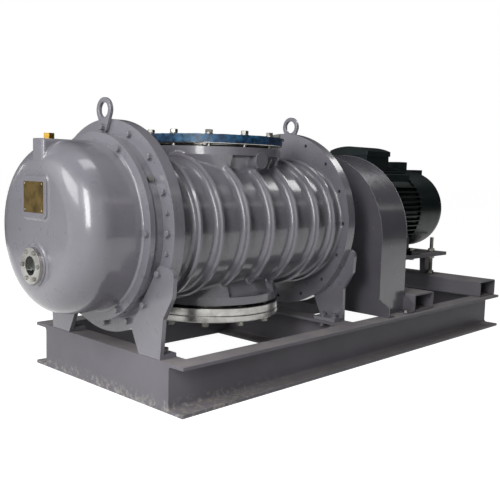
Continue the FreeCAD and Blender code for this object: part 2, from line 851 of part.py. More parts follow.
def rotor_housing():
    """The barrel with its ribs and end flanges. The two necks of the casting are nodes of their own."""
    owner = body("barrel_casting")
    obround(owner, "barrel", "housing_start", "housing_length", "barrel_offset", "barrel_radius")
    disc(owner, "gear_flange", "plate_radius", "housing_start", "housing_flange_thick")
    disc(owner, "drive_flange", "plate_radius", "housing_end - housing_flange_thick",
         "housing_flange_thick")
    middles = [
        ("rib_one", "housing_start + gear_rib_setback"), ("rib_two", "port_station - 2 * rib_pitch"),
        ("rib_three", "port_station - rib_pitch"), ("rib_four", "port_station"),
        ("rib_five", "port_station + rib_pitch"), ("rib_six", "port_station + 2 * rib_pitch"),
        ("rib_seven", "housing_end - drive_rib_setback"),
    ]
    for name, middle in middles:
        station = middle + " - rib_width / 2"
        rib = obround(owner, name, station, "rib_width", "barrel_offset", "rib_radius")
    doc.recompute()
    reach = worth("rib_radius")
    height = worth("shaft_height")

    def crest(edge):
        if edge.Curve.TypeId == "Part::GeomCircle":
            return abs(edge.Curve.Radius - reach) < 0.01
        return straight_along(edge, ALONG_Y) and abs(abs(edge.CenterOfMass.z - height) - reach) < 0.01

    bevel = owner.newObject("PartDesign::Chamfer", "rib_crests")
    bevel.Base = (rib, edge_names(rib, crest))
    bevel.setExpression("Size", bound("rib_chamfer"))
    bore(owner, "drive_rotor_bore", "bore_radius", "housing_start", "housing_length", "-rotor_offset")
    bore(owner, "idler_rotor_bore", "bore_radius", "housing_start", "housing_length", "rotor_offset")
    bore_ring(owner, "gear_flange_hole", "plate_bolt_circle", "plate_bolt_count", "plate_hole",
              "housing_start", "housing_flange_thick")
    bore_ring(owner, "drive_flange_hole", "plate_bolt_circle", "plate_bolt_count", "plate_hole",
              "housing_end - housing_flange_thick", "housing_flange_thick")
    tools = port_necks()
    tools.append(throat_rod("housing_throat"))
    return finish(cut("rotor_housing", owner, tools), "rotor_housing")


def side_plate(label, station, boss_station, boss_length, boss_radius, outer_face, inward):
    """A side plate with its bearing boss. Inward is 1 where the rotors lie towards +X."""
    owner = body(label)
    disc(owner, label + "_disc", "plate_radius", station, "plate_thick")
    disc(owner, label + "_boss", boss_radius, boss_station, boss_length)
    bore_ring(owner, label + "_hole", "plate_bolt_circle", "plate_bolt_count", "plate_hole",
              station, "plate_thick")
    for shaft, across in (("drive", "-rotor_offset"), ("idler", "rotor_offset")):
        name = label + "_" + shaft
        if inward > 0:
            bearing_station = outer_face
            seal_station = outer_face + " + bearing_width"
            hole_station = seal_station + " + seal_width"
            hole_length = "housing_start - (%s)" % hole_station
        else:
            bearing_station = outer_face + " - bearing_width"
            seal_station = bearing_station + " - seal_width"
            hole_station = station
            hole_length = "(%s) - (%s)" % (seal_station, station)
        bore(owner, name + "_bearing_seat", "bearing_bore", bearing_station, "bearing_width", across)
        bore(owner, name + "_seal_seat", "seal_bore", seal_station, "seal_width", across)
        bore(owner, name + "_shaft_hole", "shaft_hole", hole_station, hole_length, across)
    return owner


def side_plates():
    gear = side_plate("gear_side_plate", "gear_plate_station", "boss_face",
                      "gear_boss_length", "gear_boss_radius", "boss_face", 1)
    bore_ring(gear, "cover_hole", "cover_bolt_circle", "cover_bolt_count", "plate_hole",
              "boss_face", "plate_bolt_reach", turn="cover_bolt_turn")
    finish(gear, "gear_side_plate")
    drive = side_plate("drive_side_plate", "housing_end", "drive_plate_back", "drive_boss_length",
                       "drive_boss_radius", "drive_boss_face", -1)
    bore_ring(drive, "end_cover_hole", "drive_cover_bolt_circle", "drive_cover_bolt_count",
              "plate_hole", "drive_boss_face - plate_bolt_reach", "plate_bolt_reach")
    finish(drive, "drive_side_plate")


def gear_cover():
    """The domed oil case over the timing gears, with its filler block and two pads."""
    owner = body("cover_dome")
    inner = "cover_radius - cover_wall"
    corners = [
        ("cover_front", "0"), ("cover_front", "cover_radius"), ("cover_face", "cover_radius"),
        ("cover_face", "cover_flange_radius"), ("boss_face", "cover_flange_radius"),
        ("boss_face", inner), ("cover_front + cover_wall", inner), ("cover_front + cover_wall", "0"),
    ]
    shell = turned(owner, "cover_shell", corners)
    shell = fillet(owner, shell, "cover_inner_round", "cover_corner - cover_wall",
                   lambda edge: circular(edge, inner, "cover_front + cover_wall"))
    shell = fillet(owner, shell, "cover_outer_round", "cover_corner",
                   lambda edge: circular(edge, "cover_radius", "cover_front"))
    fillet(owner, shell, "cover_root_round", "cover_root",
           lambda edge: circular(edge, "cover_radius", "cover_face"))
    block_foot = "shaft_height + cover_radius - filler_block_drop"
    block = box("filler_block", "cover_face - block_front", "filler_block_width",
                "block_top - (%s)" % block_foot, "block_front", "-filler_block_width / 2", block_foot)
    doc.recompute()
    front = worth("block_front")
    top = worth("block_top")

    def block_edge(edge):
        middle = edge.CenterOfMass
        if straight_along(edge, ALONG_X):
            return abs(middle.z - top) < 0.01
        return straight_along(edge, ALONG_Z) and abs(middle.x - front) < 0.01

    block = rounded("filler_block_round", block, "filler_block_corner", block_edge)
    pad_depth = "name_pad_thick + cover_wall / 2"
    plate_pad = box("name_pad", pad_depth, "name_pad_width", "name_pad_height", "pad_front",
                    "-name_pad_width / 2", "name_height - name_pad_height / 2")
    plate_pad = rounded("name_pad_round", plate_pad, "name_pad_corner",
                        lambda edge: straight_along(edge, ALONG_X))
    boss = rod("sight_boss", "sight_boss_radius", pad_depth, "pad_front", "0", "sight_height")
    solid = fuse("cover_casting", [owner, block, plate_pad, boss])
    solid.Refine = False
    tools = [
        rod("filler_hole", "filler_thread_radius + seat_clearance",
            "filler_block_drop + filler_block_rise + cover_wall", "filler_station", "0",
            block_foot + " - cover_wall", ALONG_Z),
        rod("sight_recess", "sight_glass_radius + seat_clearance", "sight_glass_thick", "pad_front",
            "0", "sight_height"),
        rod("sight_opening", "sight_opening_radius", "name_pad_thick + cover_wall", "pad_front",
            "0", "sight_height"),
    ]
    tools += rod_ring("sight_hole", "sight_bolt_circle", "sight_bolt_count",
                      "sight_bolt_radius + bolt_clearance", "name_pad_thick", "pad_front",
                      "sight_height", "sight_bolt_turn")
    tools += rod_ring("cover_flange_hole", "cover_bolt_circle", "cover_bolt_count", "plate_hole",
                      "cover_flange_thick", "cover_face", "shaft_height", "cover_bolt_turn")
    return finish(cut("gear_cover", solid, tools), "gear_cover")


def sight_glass():
    owner = body("sight_glass_flange")
    disc(owner, "sight_flange_disc", "sight_flange_radius", "sight_front", "sight_flange_thick",
         "0", "sight_height")
    bore(owner, "sight_flange_opening", "sight_opening_radius", "sight_front", "sight_flange_thick",
         "0", "sight_height")
    bore_ring(owner, "sight_flange_hole", "sight_bolt_circle", "sight_bolt_count",
              "sight_bolt_radius + bolt_clearance", "sight_front", "sight_flange_thick",
              "0", "sight_height", "sight_bolt_turn")
    finish(owner, "sight_glass_flange")
    owner = body("sight_glass_window")
    disc(owner, "sight_glass_disc", "sight_glass_radius", "pad_front", "sight_glass_thick",
         "0", "sight_height")
    finish(owner, "sight_glass_window")


def nameplate():
    owner = body("nameplate")
    sketch = sketch_on(owner, "nameplate_section", "YZ_Plane", "pad_front - nameplate_thick",
                       "0", "name_height")
    pad(owner, rectangle(sketch, "nameplate_width", "nameplate_height"), "nameplate_thick",
        "nameplate_sheet")
    finish(owner, "nameplate")


def gear_cover_fasteners():
    """The flange bolts, the sight glass bolts and the nameplate's four screws."""
    pieces = []
    height = worth("shaft_height")
    radius = worth("plate_bolt_radius")
    grip = worth("cover_flange_thick + plate_bolt_reach")
    for angle in even_angles(worth("cover_bolt_count")):
        y, z = on_circle(worth("cover_bolt_circle"), angle + worth("cover_bolt_turn"), height)
        pieces.append(bolt(radius, Vector(worth("cover_face"), y, z), TOWARDS_GEAR, grip))
    grip = worth("sight_flange_thick + name_pad_thick / 2")
    for angle in even_angles(worth("sight_bolt_count")):
        y, z = on_circle(worth("sight_bolt_circle"), angle + worth("sight_bolt_turn"),
                         worth("sight_height"))
        base = Vector(worth("sight_front"), y, z)
        pieces.append(bolt(worth("sight_bolt_radius"), base, TOWARDS_GEAR, grip))
    screw = worth("nameplate_screw_radius")
    half_width = worth("nameplate_width / 2 - nameplate_margin")
    half_height = worth("nameplate_height / 2 - nameplate_margin")
    for side in (-1, 1):
        for end in (-1, 1):
            base = Vector(worth("pad_front - nameplate_thick"), side * half_width,
                          worth("name_height") + end * half_height)
            pieces.append(Part.makeCone(screw, screw / 2, screw / 2, base, TOWARDS_GEAR))
    group("gear_cover_fasteners", pieces)


def plugs():
    """The filler plug on the block, and the hexagon plug seated on the round boss."""
    top = Vector(worth("filler_station"), 0, worth("block_top"))
    head = hexagon(worth("filler_plug_flat"), worth("filler_plug_height"), top, UPWARDS)
    depth = worth("filler_thread_length")
    thread = Part.makeCylinder(worth("filler_thread_radius"), depth, top - UPWARDS * depth, UPWARDS)
    shaped("filler_plug", head.fuse(thread))
    turn = math.radians(worth("side_plug_angle"))
    outward = Vector(0, -math.sin(turn), math.cos(turn))
    axis_point = Vector(worth("side_plug_station"), 0, worth("shaft_height"))
    flat = worth("side_plug_radius") * 2
    boss = worth("gear_boss_radius")
    base = axis_point + outward * (boss - flat / 4)
    plug = hexagon(flat, flat / 4 + flat / 2, base, outward)
    drum = Part.makeCylinder(boss, flat * 2, axis_point - ALONG_X * flat, ALONG_X)
    shaped("side_plug", plug.cut(drum))


def side_plate_bolts():
    """Sixteen bolts in each plate. The lug and the feet sit under some of the heads."""
    height = worth("shaft_height")
    radius = worth("plate_bolt_radius")
    for label, face, direction in (
        ("gear_plate_bolts", "gear_plate_station", TOWARDS_GEAR),
        ("drive_plate_bolts", "drive_plate_back", TOWARDS_MOTOR),
    ):
        pieces = []
        for angle in even_angles(worth("plate_bolt_count")):
            fold = min(angle, 360.0 - angle)
            seat = 0.0
            if fold == 0:
                seat = worth("lug_thick")
            elif 100 < fold < 150:
                seat = worth("foot_thick")
            y, z = on_circle(worth("plate_bolt_circle"), angle, height)
            base = Vector(worth(face), y, z) + direction * seat
            pieces.append(bolt(radius, base, direction, seat + worth("plate_thick + plate_bolt_reach")))
        if direction is TOWARDS_MOTOR:
            grip = worth("drive_cover_flange + plate_bolt_reach")
            for angle in even_angles(worth("drive_cover_bolt_count")):
                y, z = on_circle(worth("drive_cover_bolt_circle"), angle, height)
                base = Vector(worth("drive_boss_face + drive_cover_flange"), y, z)
                pieces.append(bolt(radius, base, direction, grip))
        group(label, pieces)


def drive_end_cover():
    """The cupped cover over the drive-end bearings, with the drive shaft's way out."""
    owner = body("drive_end_cover")
    flange_end = "drive_boss_face + drive_cover_flange"
    inner = "drive_cover_cup - drive_cover_wall"
    corners = [
        ("drive_boss_face", inner), ("drive_boss_face", "drive_cover_radius"),
        (flange_end, "drive_cover_radius"), (flange_end, "drive_cover_cup"),
        ("drive_cover_end", "drive_cover_cup"), ("drive_cover_end", "0"),
        ("drive_cover_end - drive_cover_wall", "0"), ("drive_cover_end - drive_cover_wall", inner),
    ]
    shell = turned(owner, "end_cover_shell", corners)
    shell = fillet(owner, shell, "end_cover_inner_round", "drive_cover_corner - drive_cover_wall",
                   lambda edge: circular(edge, inner, "drive_cover_end - drive_cover_wall"))
    fillet(owner, shell, "end_cover_round", "drive_cover_corner",
           lambda edge: circular(edge, "drive_cover_cup", "drive_cover_end"))
    bore_ring(owner, "end_cover_flange_hole", "drive_cover_bolt_circle", "drive_cover_bolt_count",
              "plate_hole", "drive_boss_face", "drive_cover_flange")
    bore(owner, "end_cover_shaft_hole", "journal_radius + running_clearance",
         "drive_cover_end - drive_cover_wall", "drive_cover_wall", "-rotor_offset")
    return finish(owner, "drive_end_cover")


# Feet and lifting lugs

def foot(label, sign, station, tab_station, bolt_station, inset):
    """A flame-cut foot plate with its base tab, on one side of the pump."""
    owner = body(label)
    shape = [
        ("foot_base_in", "0"), ("foot_base_out", "0"), ("foot_knee_out - " + inset, "foot_knee_rise"),
        ("foot_elbow_out - " + inset, "foot_elbow_rise"),
        ("foot_shoulder_out - " + inset, "foot_shoulder_rise"),
        ("foot_crown_out", "foot_crown_rise"), ("foot_hip_out", "foot_hip_rise"),
    ]
    corners = [("(%d) * (%s)" % (sign, across), up) for across, up in shape]
    section = sketch_on(owner, label + "_outline", "YZ_Plane", station, "0", "channel_height")
    plate = pad(owner, outline(section, corners), "foot_thick", label + "_plate")
    low = worth("channel_height")

    def bend(edge):
        return straight_along(edge, ALONG_X) and edge.CenterOfMass.z > low + 1

    fillet(owner, plate, label + "_bends", "foot_bend", bend)
    tab = sketch_on(owner, label + "_tab_section", "XY_Plane", "channel_height", tab_station)
    edge_in = "(%d) * (foot_base_in)" % sign
    edge_out = "(%d) * (foot_base_out)" % sign
    outline(tab, [("0", edge_in), ("foot_tab_length", edge_in),
                  ("foot_tab_length", edge_out), ("0", edge_out)])
    pad(owner, tab, "foot_tab_thick", label + "_tab")
    holes = sketch_on(owner, label + "_tab_holes", "XY_Plane", "channel_height")
    circles(holes, [(bolt_station, "(%d) * foot_bolt_inner" % sign, "large_hole"),
                    (bolt_station, "(%d) * foot_bolt_outer" % sign, "large_hole")])
    pocket(owner, holes, "foot_tab_thick", label + "_tab_drilling")
    drilling = sketch_on(owner, label + "_plate_holes", "YZ_Plane", station, "0", "shaft_height")
    rounds = []
    for turn in (5, 6):
        angle = "(360 * %d / plate_bolt_count)" % turn
        rounds.append(("(%d) * plate_bolt_circle * sin%s" % (sign, angle),
                       "plate_bolt_circle * cos%s" % angle, "plate_hole"))
    pocket(owner, circles(drilling, rounds), "foot_thick", label + "_plate_drilling")
    return finish(owner, label)


def feet():
    for side, sign in (("near", -1), ("far", 1)):
        foot(side + "_gear_foot", sign, "gear_foot_station", "gear_plate_station",
             "gear_plate_station + foot_bolt_station", "0")
        foot(side + "_drive_foot", sign, "drive_plate_back", "drive_plate_back - foot_tab_length",
             "drive_plate_back - foot_bolt_station", "drive_foot_inset")
    pieces = []
    radius = worth("large_bolt_radius")
    top = worth("channel_height + foot_tab_thick")
    under = worth("channel_height - channel_lip")
    nut_height = radius * HEAD_HEIGHT_RATIO
    for station in ("gear_plate_station + foot_bolt_station", "drive_plate_back - foot_bolt_station"):
        for sign in (-1, 1):
            for distance in ("foot_bolt_inner", "foot_bolt_outer"):
                x = worth(station)
                y = sign * worth(distance)
                screw = bolt(radius, Vector(x, y, top), UPWARDS, top - under + nut_height)
                nut = hexagon(radius * HEAD_FLAT_RATIO, nut_height, Vector(x, y, under), DOWNWARDS)
                pieces.append(screw.fuse(nut))
    group("foot_bolts", pieces)


def lifting_lug(label, station):
    """A forged eye on a tongue that the plate's top bolt holds."""
    owner = body(label)
    disc(owner, label + "_ring", "lug_ring_radius", station, "lug_thick", "0",
         "shaft_height + lug_rise")
    tongue = sketch_on(owner, label + "_tongue_section", "YZ_Plane", station, "0", "shaft_height")
    rise = "(lug_rise - plate_bolt_circle)"
    slope = "((lug_ring_radius - lug_foot_radius) / %s)" % rise
    level = "sqrt(1 - %s * %s)" % (slope, slope)
    outline(tongue, [
        ("-lug_foot_radius * " + level, "plate_bolt_circle - lug_foot_radius * " + slope),
        ("lug_foot_radius * " + level, "plate_bolt_circle - lug_foot_radius * " + slope),
        ("lug_ring_radius * " + level, "lug_rise - lug_ring_radius * " + slope),
        ("-lug_ring_radius * " + level, "lug_rise - lug_ring_radius * " + slope),
    ])
    pad(owner, tongue, "lug_thick", label + "_tongue")
    last = disc(owner, label + "_foot", "lug_foot_radius", station, "lug_thick", "0",
                "shaft_height + plate_bolt_circle")
    fillet(owner, last, label + "_edges", "lug_edge", lambda edge: circular(edge, "lug_ring_radius"))
    hole = bore(owner, label + "_eye", "lug_eye_radius", station, "lug_thick", "0",
                "shaft_height + lug_rise")
    fillet(owner, hole, label + "_eye_edges", "lug_edge",
           lambda edge: circular(edge, "lug_eye_radius"))
    bore(owner, label + "_bolt_hole", "plate_hole", station, "lug_thick", "0",
         "shaft_height + plate_bolt_circle")
    return finish(owner, label)


# Port flanges

def port_piece(label, low, thick, edge=None, raised=None, throat=None):
    """A round plate or ring on the port axis, with its bolt holes."""
    owner = body(label)
    sketch = sketch_on(owner, label + "_circle", "XY_Plane", low, "port_station")
    blank = pad(owner, circles(sketch, [("0", "0", "ring_radius")]), thick, label + "_disc")
    if edge:
        fillet(owner, blank, label + "_edge", edge, lambda item: circular(item, "ring_radius"))
    if raised:
        sketch = sketch_on(owner, label + "_raised_circle", "XY_Plane", raised, "port_station")
        pad(owner, circles(sketch, [("0", "0", "ring_raised_radius")]), "ring_raised",
            label + "_raised_face")
    holes = sketch_on(owner, label + "_hole_circle", "XY_Plane", low, "port_station")
    hole = pocket(owner, circles(holes, [FIRST_PORT_HOLE]), thick, label + "_hole")
    ring_pattern(owner, hole, holes, "port_bolt_count", label + "_hole_ring")
    if throat:
        sketch = sketch_on(owner, label + "_throat_circle", "XY_Plane", low + " - ring_raised",
                           "port_station")
        pocket(owner, circles(sketch, [("0", "0", throat)]), thick + " + 2 * ring_raised",
               label + "_throat")
    return finish(owner, label)


def port_flanges():
    port_piece("inlet_flange_ring", "shaft_height + ring_face", "ring_thick", "ring_edge",
               "shaft_height + ring_face - ring_raised", "port_radius")
    port_piece("outlet_flange_ring", "shaft_height - ring_back", "ring_thick", "ring_edge",
               "shaft_height - ring_face", "port_radius")
    port_piece("outlet_blank", "shaft_height - ring_back - blank_thick", "blank_thick", "ring_edge")
    port_piece("inlet_film_board", "shaft_height + ring_back", "film_board_thick")
    gaskets = []
    for low in ("shaft_height + port_face", "shaft_height - port_face - gasket_thick"):
        base = Vector(worth("port_station"), 0, worth(low))
        ring = Part.makeCylinder(worth("gasket_radius"), worth("gasket_thick"), base)
        gaskets.append(ring.cut(Part.makeCylinder(worth("port_radius"), worth("gasket_thick"), base)))
    group("port_gaskets", gaskets)
    radius = worth("large_bolt_radius")
    pieces = []
    for face, sign in (("ring_back + film_board_thick", 1), ("ring_back + blank_thick", -1)):
        level = worth(face)
        grip = level - worth("port_face") + worth("plate_bolt_reach")
        for angle in even_angles(worth("port_bolt_count")):
            across, up = on_circle(worth("port_bolt_circle"), angle + worth("port_bolt_turn"), 0)
            base = Vector(worth("port_station") + across, up, worth("shaft_height") + sign * level)
            pieces.append(bolt(radius, base, UPWARDS * sign, grip))
    group("port_bolts", pieces)


# Rotors, timing gears, bearings and seals

LOBES = 2
SAMPLES = 7


def lobe_curve(pitch, clearance):
    """The closed outline of a two-lobed rotor: outer and inner cycloids in turn, drawn in
    by the clearance along the line from the rolling point to the curve."""
    rolling = pitch / (2 * LOBES)
    points = []
    for arc in range(2 * LOBES):
        outside = arc % 2 == 0
        for step in range(SAMPLES):
            roll = math.pi / LOBES * (step + 0.5) / SAMPLES
            if outside:
                spin = (pitch + rolling) / rolling * roll
                across = (pitch + rolling) * math.cos(roll) - rolling * math.cos(spin)
                up = (pitch + rolling) * math.sin(roll) - rolling * math.sin(spin)
            else:
                spin = (pitch - rolling) / rolling * roll
                across = (pitch - rolling) * math.cos(roll) + rolling * math.cos(spin)
                up = (pitch - rolling) * math.sin(roll) - rolling * math.sin(spin)
            point = Vector(0, across, up)
            contact = Vector(0, pitch * math.cos(roll), pitch * math.sin(roll))
            away = (point - contact).normalize()
            inward = away * -clearance if outside else away * clearance
            turn = Rotation(ALONG_X, 90.0 * arc - 45.0)
            points.append(turn.multVec(point + inward))
    curve = Part.BSplineCurve()
    curve.interpolate(Points=points, PeriodicFlag=True)
    return Part.Face(Part.Wire(curve.toShape()))


def rotor(label, across, quarter_turn, start, end):
    """A lobed rotor with its shaft, in one forging."""
    centre = Vector(0, worth(across), worth("shaft_height"))
    face = lobe_curve(worth("rotor_offset"), worth("rotor_clearance"))
    face.rotate(Vector(0, 0, 0), ALONG_X, 90.0 * quarter_turn)
    begin = worth("housing_start + rotor_end_gap")
    face.translate(centre + ALONG_X * begin)
    lobes = face.extrude(ALONG_X * (worth("housing_end - rotor_end_gap") - begin))
    seat_start = worth("boss_face + bearing_width")
    seat_end = worth("drive_boss_face - bearing_width")
    heavy = Part.makeCylinder(worth("shaft_radius"), seat_end - seat_start,
                              centre + ALONG_X * seat_start, ALONG_X)
    light = Part.makeCylinder(worth("journal_radius"), worth(end) - worth(start),
                              centre + ALONG_X * worth(start), ALONG_X)
    shaped(label, lobes.fuse([heavy, light]).removeSplitter())


def timing_gear(label, across):
    """An involute spur gear on a journal."""
    teeth = int(worth("gear_tooth_count"))
    pitch = worth("rotor_offset")
    module = 2 * pitch / teeth
    pressure = math.radians(20)
    base = pitch * math.cos(pressure)
    tip = pitch + module
    root = pitch - 1.25 * module

    def roll(radius):
        """The involute's turn from where it leaves the base circle."""
        lean = math.acos(min(1.0, base / radius))
        return math.tan(lean) - lean

    half = (math.pi * module / 2 - worth("gear_backlash")) / (2 * pitch) + roll(pitch)
    levels = [root, base, (base + pitch) / 2, pitch, (pitch + tip) / 2, tip]
    points = []
    for tooth in range(teeth):
        middle = 2 * math.pi * tooth / teeth
        flank = [(radius, half - roll(radius)) for radius in levels]
        for radius, spread in flank:
            points.append((radius, middle - spread))
        for radius, spread in reversed(flank):
            points.append((radius, middle + spread))
    centre = Vector(worth("gear_start"), worth(across), worth("shaft_height"))
    ring = [centre + Vector(0, radius * math.cos(angle), radius * math.sin(angle))
            for radius, angle in points]
    wheel = Part.Face(Part.makePolygon(ring + ring[:1])).extrude(ALONG_X * worth("gear_width"))
    hole = Part.makeCylinder(worth("journal_radius + seat_clearance"), worth("gear_width"),
                             centre, ALONG_X)
    shaped(label, wheel.cut(hole))


def oil_slinger():
    """A disc on the idler shaft with small wings that throw oil onto the gears."""
    centre = Vector(worth("slinger_start"), worth("rotor_offset"), worth("shaft_height"))
    thick = worth("slinger_thick")
    radius = worth("slinger_radius")
    wing = worth("slinger_wing")
    sheet = Part.makeCylinder(radius, thick, centre, ALONG_X)
    hub = Part.makeCylinder(worth("journal_radius") + wing, thick + worth("slinger_gap"), centre, ALONG_X)
    wings = []
    for angle in even_angles(6):
        blade = Part.makeBox(wing, thick, radius / 2, Vector(-wing, -thick / 2, radius / 2))
        blade.rotate(Vector(0, 0, 0), ALONG_X, angle)
        blade.translate(centre)
        wings.append(blade)
    solid = sheet.fuse([hub] + wings)
    hole = Part.makeCylinder(worth("journal_radius + seat_clearance"), 2 * (thick + wing) + thick,
                             centre - ALONG_X * wing, ALONG_X)
    shaped("oil_slinger", solid.cut(hole))


def bearing_ring(outer, inner, start, width, across):
    """One solid ring on a shaft axis."""
    centre = Vector(start, across, worth("shaft_height"))
    return Part.makeCylinder(outer, width, centre, ALONG_X).cut(
        Part.makeCylinder(inner, width, centre, ALONG_X))


def bearings_and_seals():
    offsets = (-worth("rotor_offset"), worth("rotor_offset"))
    bearing = worth("bearing_radius")
    journal = worth("journal_radius + running_clearance")
    width = worth("bearing_width")
    for label, start in (("gear_end_bearings", "boss_face"),
                         ("drive_end_bearings", "drive_boss_face - bearing_width")):
        group(label, [bearing_ring(bearing, journal, worth(start), width, y) for y in offsets])
    seals = []
    for start in ("boss_face + bearing_width", "drive_boss_face - bearing_width - seal_width"):
        for y in offsets:
            seals.append(bearing_ring(worth("seal_radius"), worth("shaft_hole"), worth(start),
                                      worth("seal_width"), y))
    group("shaft_seals", seals)


# Belt drive

def pulley(label, radius, across, up, shaft):
    """A grooved pulley, turned from one blank."""
    owner = body(label)
    corners = [("pulley_start", shaft), ("pulley_start", radius)]
    bottom = "%s - belt_sink - belt_gap" % radius
    wide = "belt_width / 2 + belt_gap + groove_flare"
    narrow = "belt_width / 2 + belt_gap"
    for number in range(int(worth("belt_count"))):
        middle = "pulley_start + pulley_margin + %d * belt_pitch" % number
        corners.append(("%s - (%s)" % (middle, wide), radius))
        corners.append(("%s - (%s)" % (middle, narrow), bottom))
        corners.append(("%s + (%s)" % (middle, narrow), bottom))
        corners.append(("%s + (%s)" % (middle, wide), radius))
    corners.append(("pulley_end", radius))
    corners.append(("pulley_end", shaft))
    turned(owner, label + "_blank", corners, across, up)
    return finish(owner, label)


def belt_loop(first, first_radius, second, second_radius):
    """A face bounded by two arcs and their outer tangents."""
    span = second - first
    heading = math.atan2(span.z, span.y)
    lean = math.acos((first_radius - second_radius) / span.Length)

    def rim(centre, radius, angle):
        return centre + Vector(0, radius * math.cos(angle), radius * math.sin(angle))

    first_low = rim(first, first_radius, heading - lean)
    first_high = rim(first, first_radius, heading + lean)
    second_low = rim(second, second_radius, heading - lean)
    second_high = rim(second, second_radius, heading + lean)
    first_back = rim(first, first_radius, heading + math.pi)
    second_back = rim(second, second_radius, heading)
    edges = [
        Part.Arc(first_high, first_back, first_low).toShape(),
        Part.makeLine(first_low, second_low),
        Part.Arc(second_low, second_back, second_high).toShape(),
        Part.makeLine(second_high, first_high),
    ]
    return Part.Face(Part.Wire(edges))


def belts():
    pieces = []
    pump = worth("pump_pulley_radius - belt_sink")
    motor = worth("motor_pulley_radius - belt_sink")
    thick = worth("belt_thick")
    width = worth("belt_width")
    for number in range(int(worth("belt_count"))):
        start = worth("pulley_start + pulley_margin + %d * belt_pitch - belt_width / 2" % number)
        first = Vector(start, -worth("rotor_offset"), worth("shaft_height"))
        second = Vector(start, worth("motor_across"), worth("motor_axis"))
        outer = belt_loop(first, pump + thick, second, motor + thick).extrude(ALONG_X * width)
        inner = belt_loop(first, pump, second, motor).extrude(ALONG_X * width)
        pieces.append(outer.cut(inner))
    group("v_belts", pieces)


def guard_outline(sketch, radius, flared):
    """An arch: a half circle on straight legs, with flared feet on the end plates. The
    sketch's origin is the arch's centre."""
    foot = "channel_height - guard_arc_height"
    right = [(radius, "0")]
    if flared:
        right.append((radius, foot + " + guard_flare_rise"))
        right.append(("guard_flare_out", foot + " + guard_flare_low"))
        right.append(("guard_flare_out", foot))
    else:
        right.append((radius, foot))
    left = [("-(%s)" % across, up) for across, up in reversed(right)]
    corners = right + left
    points = [Vector(worth(across), worth(up), 0) for across, up in corners]
    arc = Part.Circle(Vector(0, 0, 0), ALONG_Z, worth(radius))
    sketch.addGeometry(Part.ArcOfCircle(arc, 0, math.pi))
    last = len(points) - 1
    for number in range(last):
        sketch.addGeometry(Part.LineSegment(points[number], points[number + 1]))
    sketch.addConstraint(Sketcher.Constraint("Coincident", 0, START, 1, START))
    for number in range(1, last):
        sketch.addConstraint(Sketcher.Constraint("Coincident", number, END, number + 1, START))
    sketch.addConstraint(Sketcher.Constraint("Coincident", last, END, 0, END))
    tie_point(sketch, 0, CENTRE, "0", "0", Vector(0, 0, 0))
    for number in range(1, last + 1):
        across, up = corners[number - 1]
        tie_point(sketch, number, START, across, up, points[number - 1])
    tie(sketch, "DistanceY", "0", 0, ORIGIN, START, last, END)
    return sketch


def belt_guard():
    """A sheet-steel guard: flared front and rear plates with a wrapper between them."""
    owner = body("belt_guard")
    layers = [
        ("front_plate", "guard_station", "guard_sheet", True),
        ("wrapper", "guard_station", "guard_length", False),
        ("rear_plate", "guard_end - guard_sheet", "guard_sheet", True),
    ]
    for name, station, length, flared in layers:
        sketch = sketch_on(owner, name + "_outline", "YZ_Plane", station, "0", "guard_arc_height")
        pad(owner, guard_outline(sketch, "guard_radius", flared), length, name)
    sketch = sketch_on(owner, "inside_outline", "YZ_Plane", "guard_station + guard_sheet",
                       "0", "guard_arc_height")
    pocket(owner, guard_outline(sketch, "guard_radius - guard_sheet", False),
           "guard_length - 2 * guard_sheet", "inside")
    for name, station in (("front", "guard_station"), ("rear", "guard_end - guard_tab_length")):
        for side, sign in (("near", -1), ("far", 1)):
            sketch = sketch_on(owner, "%s_%s_tab_section" % (name, side), "XY_Plane",
                               "channel_height", station)
            inner = "(%d) * (guard_flare_out - guard_tab_width)" % sign
            outer = "(%d) * guard_flare_out" % sign
            outline(sketch, [("0", inner), ("guard_tab_length", inner),
                             ("guard_tab_length", outer), ("0", outer)])
            pad(owner, sketch, "guard_sheet", "%s_%s_tab" % (name, side))
    holes = sketch_on(owner, "tab_holes", "XY_Plane", "channel_height")
    stations = ("guard_station + guard_bolt_station", "guard_end - guard_bolt_station")
    circles(holes, [(station, sign + "guard_bolt_across", "plate_hole")
                    for station in stations for sign in ("-", "")])
    pocket(owner, holes, "guard_sheet", "tab_drilling")
    bore(owner, "pump_shaft_opening", "guard_shaft_hole", "guard_station", "guard_sheet",
         "-rotor_offset")
    bore(owner, "motor_shaft_opening", "guard_motor_hole", "guard_end - guard_sheet", "guard_sheet",
         "motor_across", "motor_axis")
    finish(owner, "belt_guard")
    pieces = []
    radius = worth("plate_bolt_radius")
    top = worth("channel_height + guard_sheet")
    under = worth("channel_height - channel_lip")
    nut_height = radius * HEAD_HEIGHT_RATIO
    for station in stations:
        for sign in (-1, 1):
            x = worth(station)
            y = sign * worth("guard_bolt_across")
            screw = bolt(radius, Vector(x, y, top), UPWARDS, top - under + nut_height)
            nut = hexagon(radius * HEAD_FLAT_RATIO, nut_height, Vector(x, y, under), DOWNWARDS)
            pieces.append(screw.fuse(nut))
    group("guard_bolts", pieces)


# Motor and its hinged base

MOTOR_FOOT_STATIONS = ("motor_frame_start + motor_foot_inset", "motor_frame_end - motor_foot_inset")


